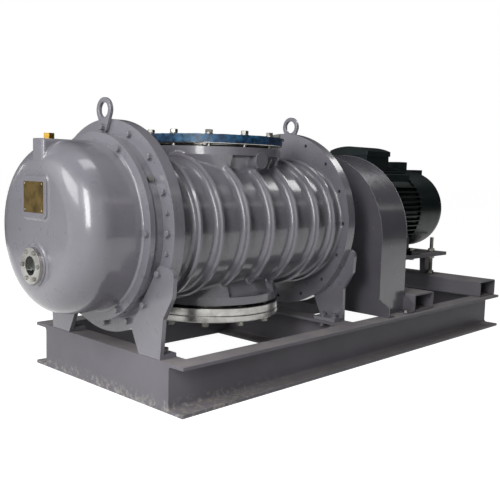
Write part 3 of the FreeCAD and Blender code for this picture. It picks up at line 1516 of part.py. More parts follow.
def motor_plate():
    owner = body("motor_plate")
    sketch = sketch_on(owner, "motor_plate_outline", "XY_Plane", "plate_under")
    outline(sketch, [
        ("motor_plate_start", "-motor_plate_near"), ("motor_plate_end", "-motor_plate_near"),
        ("motor_plate_end", "motor_plate_far"), ("motor_plate_start", "motor_plate_far"),
    ])
    pad(owner, sketch, "motor_plate_thick", "motor_plate_sheet")
    for name, middle in (("front", "front_tube_middle"), ("rear", "rear_tube_middle")):
        low = middle + " - hinge_knuckle_length / 2"
        high = middle + " + hinge_knuckle_length / 2"
        arm = sketch_on(owner, name + "_arm_outline", "XY_Plane", "plate_under")
        outline(arm, [(low, "motor_plate_far"), (high, "motor_plate_far"),
                      (high, "hinge_across"), (low, "hinge_across")])
        pad(owner, arm, "motor_plate_thick", name + "_arm")
        disc(owner, name + "_knuckle", "hinge_knuckle_radius", low, "hinge_knuckle_length",
             "hinge_across", "hinge_height")
        bore(owner, name + "_knuckle_hole", "hinge_pin_radius + running_clearance", low,
             "hinge_knuckle_length", "hinge_across", "hinge_height")
    holes = sketch_on(owner, "motor_plate_holes", "XY_Plane", "plate_under")
    rounds = [(middle, "-stud_across", "stud_radius + stud_hole_clearance")
              for middle in ("front_tube_middle", "rear_tube_middle")]
    for station in MOTOR_FOOT_STATIONS:
        for sign in ("-", "+"):
            rounds.append((station, "motor_across %s motor_foot_spacing / 2" % sign, "large_hole"))
    pocket(owner, circles(holes, rounds), "motor_plate_thick", "motor_plate_drilling")
    finish(owner, "motor_plate")


def hinge_pins():
    pieces = []
    radius = worth("hinge_pin_radius")
    reach = worth("hinge_knuckle_length / 2 + hinge_gap + hinge_cheek_thick")
    head = worth("hinge_head_thick")
    wide = worth("hinge_head_radius")
    for middle in ("front_tube_middle", "rear_tube_middle"):
        centre = Vector(worth(middle), worth("hinge_across"), worth("hinge_height"))
        start = centre - ALONG_X * (reach + head)
        pin = Part.makeCylinder(radius, 2 * (reach + head), start, ALONG_X)
        cap = Part.makeCylinder(wide, head, start, ALONG_X)
        tail = Part.makeCylinder(wide, head, centre + ALONG_X * reach, ALONG_X)
        pieces.append(pin.fuse([cap, tail]))
    group("hinge_pins", pieces)


def tension_gear():
    """Two studs that stand on the tubes, and the nuts that hold the motor plate on them."""
    studs = []
    nuts = []
    radius = worth("stud_radius")
    flat = worth("nut_flat")
    height = worth("nut_height")
    lift = worth("nut_lift")
    low = worth("tube_top")
    for middle in ("front_tube_middle", "rear_tube_middle"):
        foot_point = Vector(worth(middle), -worth("stud_across"), low)
        stud = Part.makeCylinder(radius, worth("stud_top") - low, foot_point, UPWARDS)
        studs.append(stud.fuse(hexagon(flat, height, foot_point, UPWARDS)))
        for level, direction in ((worth("motor_plate_top") + lift, UPWARDS),
                                 (worth("plate_under") - lift, DOWNWARDS)):
            base = Vector(foot_point.x, foot_point.y, level)
            hole = Part.makeCylinder(radius + worth("running_clearance"), height, base, direction)
            nuts.append(hexagon(flat, height, base, direction).cut(hole))
    group("tension_studs", studs)
    group("tension_nuts", nuts)


def motor_foot_bolts():
    pieces = []
    radius = worth("large_bolt_radius")
    top = worth("motor_plate_top + motor_foot_thick")
    under = worth("plate_under")
    nut_height = radius * HEAD_HEIGHT_RATIO
    for station in MOTOR_FOOT_STATIONS:
        for sign in ("-", "+"):
            x = worth(station)
            y = worth("motor_across %s motor_foot_spacing / 2" % sign)
            screw = bolt(radius, Vector(x, y, top), UPWARDS, top - under + nut_height)
            nut = hexagon(radius * HEAD_FLAT_RATIO, nut_height, Vector(x, y, under), DOWNWARDS)
            pieces.append(screw.fuse(nut))
    group("motor_foot_bolts", pieces)


def motor_foot(name, station, sign):
    """A cast foot: pad on the plate, web up to the barrel, and a toe that joins the two."""
    start = station + " - motor_foot_length / 2"
    middle = "motor_across + (%d) * motor_foot_spacing / 2" % sign
    web = "motor_across + (%d) * (motor_foot_spacing / 2 - motor_foot_web_in)" % sign
    sole = box(name, "motor_foot_length", "motor_foot_width", "motor_foot_thick",
               start, middle + " - motor_foot_width / 2", "motor_plate_top")
    riser = box(name + "_web", "motor_foot_length", "motor_foot_web", "motor_foot_web_rise",
                start, web + " - motor_foot_web / 2", "motor_plate_top")
    toe = box(name + "_toe", "motor_foot_length", "motor_foot_web_in", "motor_foot_thick",
              start, web if sign > 0 else middle, "motor_plate_top")
    return [sole, riser, toe]


def motor_frame():
    """The cast frame: a barrel with flat and upright fins, four feet, and a core bore."""
    length = "motor_frame_length"
    start = "motor_frame_start"
    fin_start = "motor_frame_start + motor_fin_inset"
    fin_length = "motor_frame_length - 2 * motor_fin_inset"
    fins = []
    count = int(worth("motor_fin_pairs"))
    for number in range(-count, count + 1):
        offset = "%d * motor_fin_pitch - motor_fin_thick / 2" % number
        tag = "%d" % (number + count)
        fins.append(box("flat_fin_" + tag, fin_length, "2 * motor_fin_radius", "motor_fin_thick",
                        fin_start, "motor_across - motor_fin_radius", "motor_axis + " + offset))
        fins.append(box("upright_fin_" + tag, fin_length, "motor_fin_thick", "2 * motor_fin_radius",
                        fin_start, "motor_across + " + offset, "motor_axis - motor_fin_radius"))
    envelope = rod("fin_envelope", "motor_fin_radius", fin_length, fin_start, "motor_across",
                   "motor_axis")
    trimmed = common("fins", fuse("fin_grid", fins), envelope)
    barrel = rod("motor_barrel", "motor_frame_radius", length, start, "motor_across", "motor_axis")
    pieces = [barrel, trimmed]
    tools = [rod("stator_bore", "motor_core_radius + motor_air_gap", length, start,
                 "motor_across", "motor_axis")]
    for end, station in zip(("front", "rear"), MOTOR_FOOT_STATIONS):
        for side, sign in (("near", -1), ("far", 1)):
            name = "%s_%s_motor_foot" % (end, side)
            pieces += motor_foot(name, station, sign)
            tools.append(rod(name + "_hole", "large_hole", "motor_foot_thick", station,
                             "motor_across + (%d) * motor_foot_spacing / 2" % sign,
                             "motor_plate_top", ALONG_Z))
    solid = fuse("motor_casting", pieces)
    finish(cut("motor_frame", solid, tools), "motor_frame")


def motor_end_shields():
    """Both end shields, each with its bearing nose."""
    axis = Vector(0, worth("motor_across"), worth("motor_axis"))
    pieces = []
    nose = worth("shield_nose_length")
    thick = worth("shield_thick")
    radius = worth("shield_radius")
    hub_radius = worth("shield_nose_radius")
    for start, direction in (("motor_frame_start", TOWARDS_GEAR), ("motor_frame_end", TOWARDS_MOTOR)):
        base = axis + ALONG_X * worth(start)
        plate = Part.makeCone(radius, radius - thick, thick, base, direction)
        hub = Part.makeCone(hub_radius + nose / 2, hub_radius, nose, base + direction * thick, direction)
        hole = Part.makeCylinder(worth("motor_shaft_radius + running_clearance"), thick + nose, base,
                                 direction)
        pieces.append(plate.fuse(hub).cut(hole))
    group("motor_end_shields", pieces)


def fan_cowl():
    """The cowl over the fan, round-shouldered, with air slots and two blocks on its crown."""
    owner = body("fan_cowl")
    inner = "cowl_radius - cowl_wall"
    corners = [
        ("cowl_start", inner), ("cowl_start", "cowl_radius"), ("cowl_end", "cowl_radius"),
        ("cowl_end", "0"), ("cowl_end - cowl_wall", "0"), ("cowl_end - cowl_wall", inner),
    ]
    shell = turned(owner, "cowl_shell", corners, "motor_across", "motor_axis")
    shell = fillet(owner, shell, "cowl_inner_round", "cowl_corner - cowl_wall",
                   lambda edge: circular(edge, inner, "cowl_end - cowl_wall"))
    fillet(owner, shell, "cowl_outer_round", "cowl_corner",
           lambda edge: circular(edge, "cowl_radius", "cowl_end"))
    slot = sketch_on(owner, "grille_slot_section", "YZ_Plane", "cowl_end - cowl_wall",
                     "motor_across", "motor_axis")
    rectangle(slot, "grille_slot_width", "grille_outer - grille_inner", "0",
              "(grille_outer + grille_inner) / 2")
    first = pocket(owner, slot, "cowl_wall", "grille_slot")
    ring_pattern(owner, first, slot, "grille_slot_count", "grille")
    blocks = [("front_block", "motor_axis + cowl_radius - 2 * cowl_wall"),
              ("rear_block", "rear_block_foot")]
    for name, low in blocks:
        sketch = sketch_on(owner, name + "_section", "YZ_Plane", name + "_station", "motor_across")
        high = name + "_top"
        rectangle(sketch, "top_block_width", "%s - (%s)" % (high, low), "0",
                  "(%s + %s) / 2" % (high, low))
        pad(owner, sketch, "top_block_length", name)
    return finish(owner, "fan_cowl")


def terminal_box():
    """The box stands on the fins, its underside cut to their envelope."""
    start = "terminal_box_station"
    side = "terminal_box_across - terminal_box_width / 2"
    blank = box("terminal_box_blank", "terminal_box_length", "terminal_box_width",
                "terminal_box_top - motor_axis", start, side, "motor_axis")
    seat = rod("terminal_box_seat", "motor_fin_radius", "terminal_box_length", start,
               "motor_across", "motor_axis")
    finish(cut("terminal_box", blank, [seat]), "terminal_box")
    crown = "terminal_box_top + terminal_lid_rim + terminal_lid_crown"
    half = "(terminal_box_width / 2 + terminal_lid_lap)"
    arc = "((%s * %s + terminal_lid_crown * terminal_lid_crown) / 2 / terminal_lid_crown)" % (half, half)
    lid = box("terminal_lid_blank", "terminal_box_length + 2 * terminal_lid_lap", "2 * " + half,
              "terminal_lid_rim + terminal_lid_crown", start + " - terminal_lid_lap",
              "terminal_box_across - " + half, "terminal_box_top")
    lid = rounded("terminal_lid_corners", lid, "terminal_lid_edge",
                  lambda edge: straight_along(edge, ALONG_Z))
    roof = rod("terminal_lid_roof", arc, "terminal_box_length + 2 * terminal_lid_lap",
               start + " - terminal_lid_lap", "terminal_box_across", "%s - %s" % (crown, arc))
    finish(common("terminal_box_lid", lid, roof), "terminal_box_lid")


def motor_rotor():
    """The motor's shaft and core in one."""
    axis = Vector(0, worth("motor_across"), worth("motor_axis"))
    shaft_start = worth("pulley_start - shaft_proud")
    shaft_end = worth("fan_start + fan_blade_width")
    shaft = Part.makeCylinder(worth("motor_shaft_radius"), shaft_end - shaft_start,
                              axis + ALONG_X * shaft_start, ALONG_X)
    core_start = worth("motor_frame_start + motor_core_inset")
    core = Part.makeCylinder(worth("motor_core_radius"),
                             worth("motor_frame_length - 2 * motor_core_inset"),
                             axis + ALONG_X * core_start, ALONG_X)
    shaped("motor_rotor", shaft.fuse(core))


def motor_fan():
    """A back plate with straight radial blades and a hub on the motor's shaft."""
    axis = Vector(0, worth("motor_across"), worth("motor_axis"))
    hub_radius = worth("fan_hub_radius")
    width = worth("fan_blade_width")
    thick = worth("fan_blade_thick")
    start = axis + ALONG_X * worth("fan_start")
    pieces = [Part.makeCylinder(worth("fan_radius"), thick, start, ALONG_X)]
    for angle in even_angles(worth("fan_blade_count")):
        corner = Vector(0, -thick / 2, hub_radius - thick)
        blade = Part.makeBox(width, thick, worth("fan_radius") - corner.z, corner)
        blade.rotate(Vector(0, 0, 0), ALONG_X, angle)
        blade.translate(start)
        pieces.append(blade)
    hub = Part.makeCylinder(hub_radius, width, start, ALONG_X)
    hole = Part.makeCylinder(worth("motor_shaft_radius + seat_clearance"), width, start, ALONG_X)
    shaped("motor_fan", hub.fuse(pieces).cut(hole))


skid()
cross_tube("front_cross_tube", "front_tube_station", "front_tube_middle")
cross_tube("rear_cross_tube", "rear_tube_station", "rear_tube_middle")
rotor_housing()
side_plates()
gear_cover()
sight_glass()
nameplate()
gear_cover_fasteners()
plugs()
side_plate_bolts()
drive_end_cover()
feet()
lifting_lug("gear_lifting_lug", "gear_plate_station - lug_thick")
lifting_lug("drive_lifting_lug", "drive_plate_back")
port_flanges()
rotor("drive_rotor", "-rotor_offset", 1, "gear_start - shaft_end", "pulley_end + shaft_proud")
rotor("idler_rotor", "rotor_offset", 0, "slinger_start - shaft_end", "drive_boss_face")
timing_gear("drive_timing_gear", "-rotor_offset")
timing_gear("idler_timing_gear", "rotor_offset")
oil_slinger()
bearings_and_seals()
pulley("pump_pulley", "pump_pulley_radius", "-rotor_offset", "shaft_height",
       "journal_radius + seat_clearance")
pulley("motor_pulley", "motor_pulley_radius", "motor_across", "motor_axis",
       "motor_shaft_radius + seat_clearance")
belts()
belt_guard()
motor_plate()
hinge_pins()
tension_gear()
motor_foot_bolts()
motor_frame()
motor_end_shields()
fan_cowl()
terminal_box()
motor_rotor()
motor_fan()
doc.removeObject("Working")

# Check every object before anything is written, and then write each sub-part

doc.recompute()
for item in doc.Objects:
    if "Invalid" in item.State or "Error" in item.State:
        raise RuntimeError("failed object: " + item.Name)
for piece in FINISHED:
    if piece.Shape.isNull() or not piece.Shape.isValid():
        raise RuntimeError("bad shape: " + piece.Label)
os.makedirs("parts", exist_ok=True)
for piece in FINISHED:
    piece.Shape.exportStep(os.path.join("parts", piece.Label + ".step"))
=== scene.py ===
"""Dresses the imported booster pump: finishes, bolts, welds, casting radii, film, belts, lamps and camera."""
import json
import math

import bmesh
import bpy
from mathutils import Matrix, Vector, noise
from mathutils.bvhtree import BVHTree


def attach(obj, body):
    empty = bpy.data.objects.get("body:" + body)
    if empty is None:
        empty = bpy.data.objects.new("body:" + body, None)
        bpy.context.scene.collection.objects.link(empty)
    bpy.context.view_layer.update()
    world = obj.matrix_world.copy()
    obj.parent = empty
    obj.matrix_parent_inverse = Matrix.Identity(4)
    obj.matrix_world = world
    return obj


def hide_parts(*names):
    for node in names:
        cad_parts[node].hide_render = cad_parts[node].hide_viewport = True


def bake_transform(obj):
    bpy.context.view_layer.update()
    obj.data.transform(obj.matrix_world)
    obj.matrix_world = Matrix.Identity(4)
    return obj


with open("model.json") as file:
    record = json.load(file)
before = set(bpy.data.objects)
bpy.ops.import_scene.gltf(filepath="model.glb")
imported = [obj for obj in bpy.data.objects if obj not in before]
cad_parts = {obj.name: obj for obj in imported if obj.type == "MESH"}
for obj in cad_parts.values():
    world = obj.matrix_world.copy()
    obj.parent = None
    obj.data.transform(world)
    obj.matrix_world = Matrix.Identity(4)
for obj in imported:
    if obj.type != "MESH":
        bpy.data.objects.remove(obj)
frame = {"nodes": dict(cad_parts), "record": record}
bpy.context.view_layer.update()
NODES = frame["nodes"]
SLOTS = {row["node"]: row["material_slot"] for row in frame["record"]["subparts"]}

# Directions of the pump: along its shafts, across them, and up
ALONG = Vector((1, 0, 0))
ACROSS = Vector((0, 1, 0))
UP = Vector((0, 0, 1))
TOWARDS_GEAR = -ALONG
DOWN = -UP

MM = 0.001

# Stations along the skid, in millimetres from its gear end
MIDDLE_STATION = 1160.75
SIGHT_FRONT = -332
NAMEPLATE_FRONT = -317
DOME_NOSE = -297
DOME_SPRING = -183
COVER_FLANGE_FRONT = -48
GEAR_PLATE_FRONT = 23
FOOT_STATIONS = (53, 1157)
# Between the housing's end flanges
HOUSING_CLEAR = (78, 1132)
PORT_STATION = 622
DRIVE_PLATE_BACK = 1187
END_COVER_BACK = 1248
GUARD_SIDES = (1438.5, 1677.5)
# The last edge is the skid's end, so its bead is laid 5 mm inside it
TUBE_EDGES = (1690, 1890, 2460, 2655)

# Heights, in metres
SHAFT_HEIGHT = 0.7
SKID_TOP = 0.2
FOOT_TOP, FOOT_UNDER = 0.218, 0.186
INLET_TOP, OUTLET_UNDER = 1.104, 0.272
GUARD_CENTRE = 0.606

# Radii of bolt circles and rounds, in metres
PLATE_CIRCLE = 0.415
COVER_CIRCLE = 0.373
END_COVER_CIRCLE = 0.263
SIGHT_CIRCLE = 0.059
PORT_CIRCLE = 0.312
GUARD_RADIUS = 0.448


def station(value):
    """X in metres of a station in millimetres."""
    return (value - MIDDLE_STATION) * MM


# Colours and nodes

def colour(code):
    """A hex colour as linear light, for a shader socket."""
    parts = [int(code[place:place + 2], 16) / 255 for place in (0, 2, 4)]
    return [part / 12.92 if part <= 0.04045 else ((part + 0.055) / 1.055) ** 2.4
            for part in parts] + [1.0]


def add(tree, kind, values=None, **settings):
    """A node with its settings, and its inputs given as values or as other nodes' outputs."""
    made = tree.nodes.new(kind)
    for name, setting in settings.items():
        setattr(made, name, setting)
    for socket, value in (values or {}).items():
        target = made.inputs[socket]
        if isinstance(value, bpy.types.NodeSocket):
            tree.links.new(value, target)
        else:
            target.default_value = value
    return made


def begin(name):
    """An empty material with its shader, and the place of each point in the object."""
    material = bpy.data.materials.new(name)
    material.use_nodes = True
    tree = material.node_tree
    tree.nodes.clear()
    shader = add(tree, "ShaderNodeBsdfPrincipled")
    output = add(tree, "ShaderNodeOutputMaterial")
    tree.links.new(shader.outputs["BSDF"], output.inputs["Surface"])
    return material, tree, shader, add(tree, "ShaderNodeTexCoord").outputs["Object"]


def show(tree, result):
    """Another shader sent to a material's output in place of its plain one."""
    output = next(node for node in tree.nodes if node.type == "OUTPUT_MATERIAL")
    tree.links.new(result, output.inputs["Surface"])


def grain(tree, where, size, detail=3.0, roughness=0.5, stretch=(1, 1, 1)):
    """Noise whose patches are about a size in metres."""
    turned = add(tree, "ShaderNodeMapping", {"Vector": where, "Scale": stretch})
    made = add(tree, "ShaderNodeTexNoise", {"Vector": turned.outputs[0], "Scale": 1.0 / size,
                                            "Detail": detail, "Roughness": roughness})
    return made.outputs["Fac"]


def between(tree, value, low, high, first=0.0, last=1.0):
    """A value from one range brought to another, and held inside it."""
    made = add(tree, "ShaderNodeMapRange", {"Value": value, "From Min": low, "From Max": high,
                                            "To Min": first, "To Max": last})
    return made.outputs[0]


def blend(tree, factor, first, second):
    """Two colours mixed by a factor."""
    made = add(tree, "ShaderNodeMix", {0: factor, 6: first, 7: second}, data_type="RGBA")
    return made.outputs[2]


def times(tree, first, second, operation="MULTIPLY"):
    """Two values multiplied, or combined by another named operation."""
    return add(tree, "ShaderNodeMath", {0: first, 1: second}, operation=operation).outputs[0]


def relief(tree, shader, heights, round_edge):
    """Bump from several heights in metres, over edges that look rounded by a radius."""
    normal = add(tree, "ShaderNodeBevel", {"Radius": round_edge}, samples=4).outputs[0]
    for height, depth in heights:
        bump = add(tree, "ShaderNodeBump", {"Height": height, "Distance": depth, "Strength": 1.0,
                                            "Normal": normal})
        normal = bump.outputs[0]
    tree.links.new(normal, shader.inputs["Normal"])


def facing_up(tree):
    """How far a face looks up, from 0 to 1."""
    normal = add(tree, "ShaderNodeNewGeometry").outputs["Normal"]
    split = add(tree, "ShaderNodeSeparateXYZ", {0: normal})
    return between(tree, split.outputs[2], 0.5, 0.98)


# Finishes

def enamel(name, code, pale, dust_code, dust, peel, cast, shine, round_edge, gloss=0.5, scuffs=0.0):
    """Sprayed enamel: cloudy tone, orange peel, the swell of what it covers, dust on top, and scuffs
    low on the gear end. Full gloss has a clear coat of its own."""
    full_gloss = 0.5
    cloud_size, dust_size, chip_size = 0.28, 0.09, 0.022
    spray_size, peel_size, swell_size = 0.05, 0.0035, 0.035
    material, tree, shader, where = begin(name)
    cloud = between(tree, grain(tree, where, cloud_size, 4), 0.35, 0.65)
    tone = blend(tree, cloud, colour(code), colour(pale))
    specks = between(tree, grain(tree, where, dust_size, 5), 0.3, 0.7, 0.3)
    amount = times(tree, times(tree, facing_up(tree), specks), dust)
    coat = blend(tree, amount, tone, colour(dust_code))
    if scuffs:
        place = add(tree, "ShaderNodeSeparateXYZ", {0: where}).outputs
        low_down = between(tree, place[2], 0.06, 0.012)
        worn = times(tree, low_down, between(tree, place[0], -0.35, -1.0))
        chips = between(tree, grain(tree, where, chip_size, 6, 0.65), 0.5, 0.6, 0.0, scuffs)
        coat = blend(tree, times(tree, worn, chips), coat, colour("BDB9B2"))
    tree.links.new(coat, shader.inputs["Base Color"])
    rough = between(tree, grain(tree, where, spray_size, 3), 0.3, 0.7, shine, shine + 0.08)
    dulled = times(tree, rough, times(tree, amount, 0.4), "ADD")
    tree.links.new(dulled, shader.inputs["Roughness"])
    shader.inputs["Specular IOR Level"].default_value = gloss
    shader.inputs["Coat Weight"].default_value = 0.6 if gloss == full_gloss else 0.0
    shader.inputs["Coat Roughness"].default_value = shine * 0.4
    heights = [(grain(tree, where, peel_size, 1), peel), (grain(tree, where, swell_size, 2), cast)]
    relief(tree, shader, heights, round_edge)
    return material


def metal(name, code, stain, roughness, mark_size, stretch, scratch, round_edge):
    """Bare metal with machining marks along one direction and a faint stain."""
    stain_size = 0.04
    material, tree, shader, where = begin(name)
    mark = grain(tree, where, mark_size, 3, 0.6, stretch)
    patch = between(tree, grain(tree, where, stain_size, 4), 0.4, 0.7)
    tree.links.new(blend(tree, patch, colour(code), colour(stain)), shader.inputs["Base Color"])
    shader.inputs["Metallic"].default_value = 1.0
    rough = between(tree, mark, 0.3, 0.7, roughness, roughness + 0.14)
    tree.links.new(rough, shader.inputs["Roughness"])
    relief(tree, shader, [(mark, scratch)], round_edge)
    return material


def matt(name, code, second, roughness, size, depth):
    """Rubber, fibre or moulded plastic: an even mottle and a fine grain."""
    material, tree, shader, where = begin(name)
    mark = grain(tree, where, size, 3)
    tree.links.new(blend(tree, mark, colour(code), colour(second)), shader.inputs["Base Color"])
    rough = between(tree, mark, 0.3, 0.7, roughness, roughness + 0.12)
    tree.links.new(rough, shader.inputs["Roughness"])
    relief(tree, shader, [(mark, depth)], 0.0008)
    return material


def film(name):
    """Blue protective film: deep and pale blue where creases and trapped air catch the light."""
    crease_size, cloud_size, stipple_size = 0.022, 0.11, 0.006
    material, tree, shader, where = begin(name)
    crease = grain(tree, where, crease_size, 5, 0.62)
    cloudy = between(tree, crease, 0.36, 0.62)
    deep = between(tree, grain(tree, where, cloud_size, 2), 0.42, 0.58)
    pale = blend(tree, deep, colour("143A60"), colour("2F678E"))
    tree.links.new(blend(tree, cloudy, colour("061626"), pale), shader.inputs["Base Color"])
    tree.links.new(between(tree, crease, 0.3, 0.7, 0.3, 0.5), shader.inputs["Roughness"])
    relief(tree, shader, [(crease, 0.0015), (grain(tree, where, stipple_size, 2), 0.0002)], 0.001)
    return material


def window(name):
    """Thick sight glass: green at depth, with an oily smear that dulls it in places."""
    smear_size = 0.02
    material, tree, shader, where = begin(name)
    smear = grain(tree, where, smear_size, 3)
    shader.inputs["Base Color"].default_value = colour("2E4A40")
    shader.inputs["Transmission Weight"].default_value = 0.92
    tree.links.new(between(tree, smear, 0.4, 0.7, 0.02, 0.10), shader.inputs["Roughness"])
    relief(tree, shader, [(smear, 0.0002)], 0.0008)
    return material


def threaded(name):
    """Zinc-plated stud: dull silver with the turns of its thread round it."""
    pitch, thread_depth, stain_size = 0.003, 0.0012, 0.03
    # The wave repeats every tau / 20 of its scaled place. It is drawn twice as coarse as the thread,
    # so that it shows in the render
    bands = math.tau / (pitch * 20 * 2)
    material, tree, shader, where = begin(name)
    wave = add(tree, "ShaderNodeTexWave", {"Vector": where, "Scale": bands, "Distortion": 0.0},
               bands_direction="Z")
    patch = between(tree, grain(tree, where, stain_size, 4), 0.4, 0.7)
    tree.links.new(blend(tree, patch, colour("A9A79E"), colour("7D7A70")), shader.inputs["Base Color"])
    shader.inputs["Metallic"].default_value = 1.0
    shader.inputs["Roughness"].default_value = 0.36
    relief(tree, shader, [(wave.outputs["Fac"], thread_depth)], 0.0004)
    return material


MATERIALS = {
    # Violet-grey gloss enamel sprayed on cast iron: long soft highlights, broken by the casting's swell
    "pump_paint": enamel("violet_grey_enamel_on_castings", "7B7980", "838189", "96939A", dust=0.25,
                         peel=0.00004, cast=0.0009, shine=0.26, round_edge=0.003),
    # The same coat on bolt heads: thick in the corners, so the hexagons look soft
    "painted_bolts": enamel("violet_grey_enamel_on_bolts", "77757C", "807E85", "96939A", dust=0.2,
                            peel=0.00003, cast=0.0001, shine=0.25, round_edge=0.0015),
    # The same coat on rolled sheet steel, darker in colour as painted shade over the whole guard: flat,
    # glossy sides with a slight ripple
    "guard_paint": enamel("violet_grey_enamel_on_sheet_with_painted_shade", "66646B", "6D6B72", "96939A", dust=0.2,
                          peel=0.00003, cast=0.0005, shine=0.2, round_edge=0.003),
    # The same coat on hot-rolled channel: satin, dusty on top, and scuffed low down at the gear end
    "skid_paint": enamel("violet_grey_enamel_on_rolled_steel", "7A777E", "827F86", "A09A98", dust=0.75,
                         peel=0.00004, cast=0.0004, shine=0.4, round_edge=0.003, gloss=0.2, scuffs=0.7),
    # Very dark green enamel on the motor's castings: nearly black, with dull highlights on the fins
    "motor_paint": enamel("dark_green_enamel_on_castings", "141D1E", "1B2627", "4C4F4B", dust=0.3,
                          peel=0.00005, cast=0.0004, shine=0.3, round_edge=0.002, gloss=0.2),
    # Mild steel turned on its rim: bright, with fine rings
    "bright_steel": metal("turned_steel", "C2C1BD", "A3A19C", roughness=0.2, mark_size=0.004,
                          stretch=(1, 1, 9), scratch=0.00006, round_edge=0.0015),
    # Zinc plate on bolts and nuts: grey silver with a mottled sheen
    "bolt_steel": metal("zinc_plated_steel", "A5A39C", "86847D", roughness=0.3, mark_size=0.006,
                        stretch=(1, 1, 1), scratch=0.00005, round_edge=0.001),
    "blue_film": film("blue_protective_film"),
    # Pressed fibre gasket sheet: a flat, nearly black edge
    "gasket_sheet": matt("fibre_gasket", "20201F", "2C2B29", roughness=0.7, size=0.002, depth=0.0001),
    "sight_window": window("sight_window_glass"),
    # Rolled brass plate, lacquered: brown gold with faint upright marks
    "plate_brass": metal("satin_brass_plate", "8A7442", "5C4C28", roughness=0.3, mark_size=0.003,
                         stretch=(1, 8, 1), scratch=0.00003, round_edge=0.0005),
    # Brass plug, machined: a clear yellow glint
    "plug_brass": metal("machined_brass", "C9A24A", "A8873C", roughness=0.24, mark_size=0.003,
                        stretch=(1, 1, 6), scratch=0.00004, round_edge=0.001),
    # Gear and bearing steel, ground and oiled: smooth, with a brownish stain
    "gear_steel": metal("oiled_gear_steel", "8F9092", "7B7769", roughness=0.22, mark_size=0.004,
                        stretch=(8, 1, 1), scratch=0.00004, round_edge=0.0006),
    # Ground shaft steel: close rings round a smooth bar
    "shaft_steel": metal("ground_shaft_steel", "9A9A9B", "8A867C", roughness=0.2, mark_size=0.004,
                         stretch=(8, 1, 1), scratch=0.00003, round_edge=0.001),
    # Moulded nitrile rubber: a dull black lip
    "seal_rubber": matt("nitrile_rubber", "151516", "1D1D1E", roughness=0.6, size=0.002, depth=0.0001),
    # Cast iron rotors, milled: darker grey, with cutter marks round the axis
    "rotor_iron": metal("machined_cast_iron", "7A7A7C", "6A6660", roughness=0.32, mark_size=0.003,
                        stretch=(6, 1, 1), scratch=0.00006, round_edge=0.001),
    # Cast iron pulleys, turned: dark grey with a dry grain
    "pulley_iron": metal("turned_cast_iron", "6A6A6C", "57534D", roughness=0.34, mark_size=0.003,
                         stretch=(1, 6, 6), scratch=0.00006, round_edge=0.001),
    # Belts of rubber faced with cloth: matt black with a fine nap
    "belt_rubber": matt("belt_rubber", "121212", "1C1B1A", roughness=0.65, size=0.0012, depth=0.0002),
    # Moulded plastic of the fan: black with a slight shine
    "fan_plastic": matt("moulded_fan_plastic", "101112", "17191A", roughness=0.45, size=0.004,
                        depth=0.0001),
}
THREAD = threaded("threaded_zinc_stud")

for name, node in NODES.items():
    finish = THREAD if name == "tension_studs" else MATERIALS[SLOTS[name]]
    node.data.materials.clear()
    node.data.materials.append(finish)


# Pieces

def piece(name, mesh, body, slot, replaced=(), smooth=40):
    """A finished mesh as a piece on a body, with the finish of one of the record's slots. Edges sharper
    than an angle in degrees stay sharp. A piece that is to bend between bodies rides on none."""
    made = bpy.data.objects.new(name, mesh)
    bpy.context.scene.collection.objects.link(made)
    made.data.materials.clear()
    made.data.materials.append(MATERIALS[slot])
    mesh.shade_smooth()
    if smooth:
        mesh.set_sharp_from_angle(angle=math.radians(smooth))
    if body:
        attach(made, body)
    if replaced:
        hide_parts(*replaced)
    return made


def mesh_of(name, work):
    """A mesh from mesh work, with its faces turned outwards."""
    made = bpy.data.meshes.new(name)
    bmesh.ops.recalc_face_normals(work, faces=work.faces)
    work.to_mesh(made)
    work.free()
    return made


def towards(point, direction):
    """A placement at a point with its Z along a direction."""
    return Matrix.Translation(point) @ Vector(direction).to_track_quat("Z", "Y").to_matrix().to_4x4()


def lathe(work, profile, steps, place):
    """A closed profile of radius and height turned about Z, then put in place."""
    rings = []
    for step in range(steps):
        turn = math.tau * step / steps
        ring = []
        for radius, height in profile:
            point = Vector((radius * math.cos(turn), radius * math.sin(turn), height))
            ring.append(work.verts.new(place @ point))
        rings.append(ring)
    count = len(profile)
    for step in range(steps):
        here, there = rings[step], rings[(step + 1) % steps]
        for index in range(count):
            after = (index + 1) % count
            work.faces.new((here[index], there[index], there[after], here[after]))


# What repeats or follows a line is grown by Geometry Nodes

def sized_tree(name, sizes):
    """An empty geometry tree with named inputs, and what its inputs give."""
    tree = bpy.data.node_groups.new(name, "GeometryNodeTree")
    for way in ("INPUT", "OUTPUT"):
        tree.interface.new_socket("Geometry", in_out=way, socket_type="NodeSocketGeometry")
    for label in sizes:
        tree.interface.new_socket(label, in_out="INPUT", socket_type="NodeSocketFloat")
    tree.interface.new_socket("Finish", in_out="INPUT", socket_type="NodeSocketMaterial")
    return tree, add(tree, "NodeGroupInput").outputs


def end_tree(tree, given, result):
    """The last steps of every tree: real faces, with their material."""
    real = add(tree, "GeometryNodeRealizeInstances", {0: result}).outputs[0]
    painted = add(tree, "GeometryNodeSetMaterial", {"Geometry": real, "Material": given["Finish"]})
    add(tree, "NodeGroupOutput", {0: painted.outputs[0]})
    return tree


def drum(tree, radius, height, low, sides=24):
    """A short cylinder along Z that stands on a level."""
    made = add(tree, "GeometryNodeMeshCylinder", {"Vertices": sides, "Radius": radius, "Depth": height})
    middle = times(tree, low, times(tree, height, 0.5), "ADD")
    lift = add(tree, "ShaderNodeCombineXYZ", {"Z": middle}).outputs[0]
    return add(tree, "GeometryNodeTransform", {"Geometry": made.outputs[0], "Translation": lift}).outputs[0]


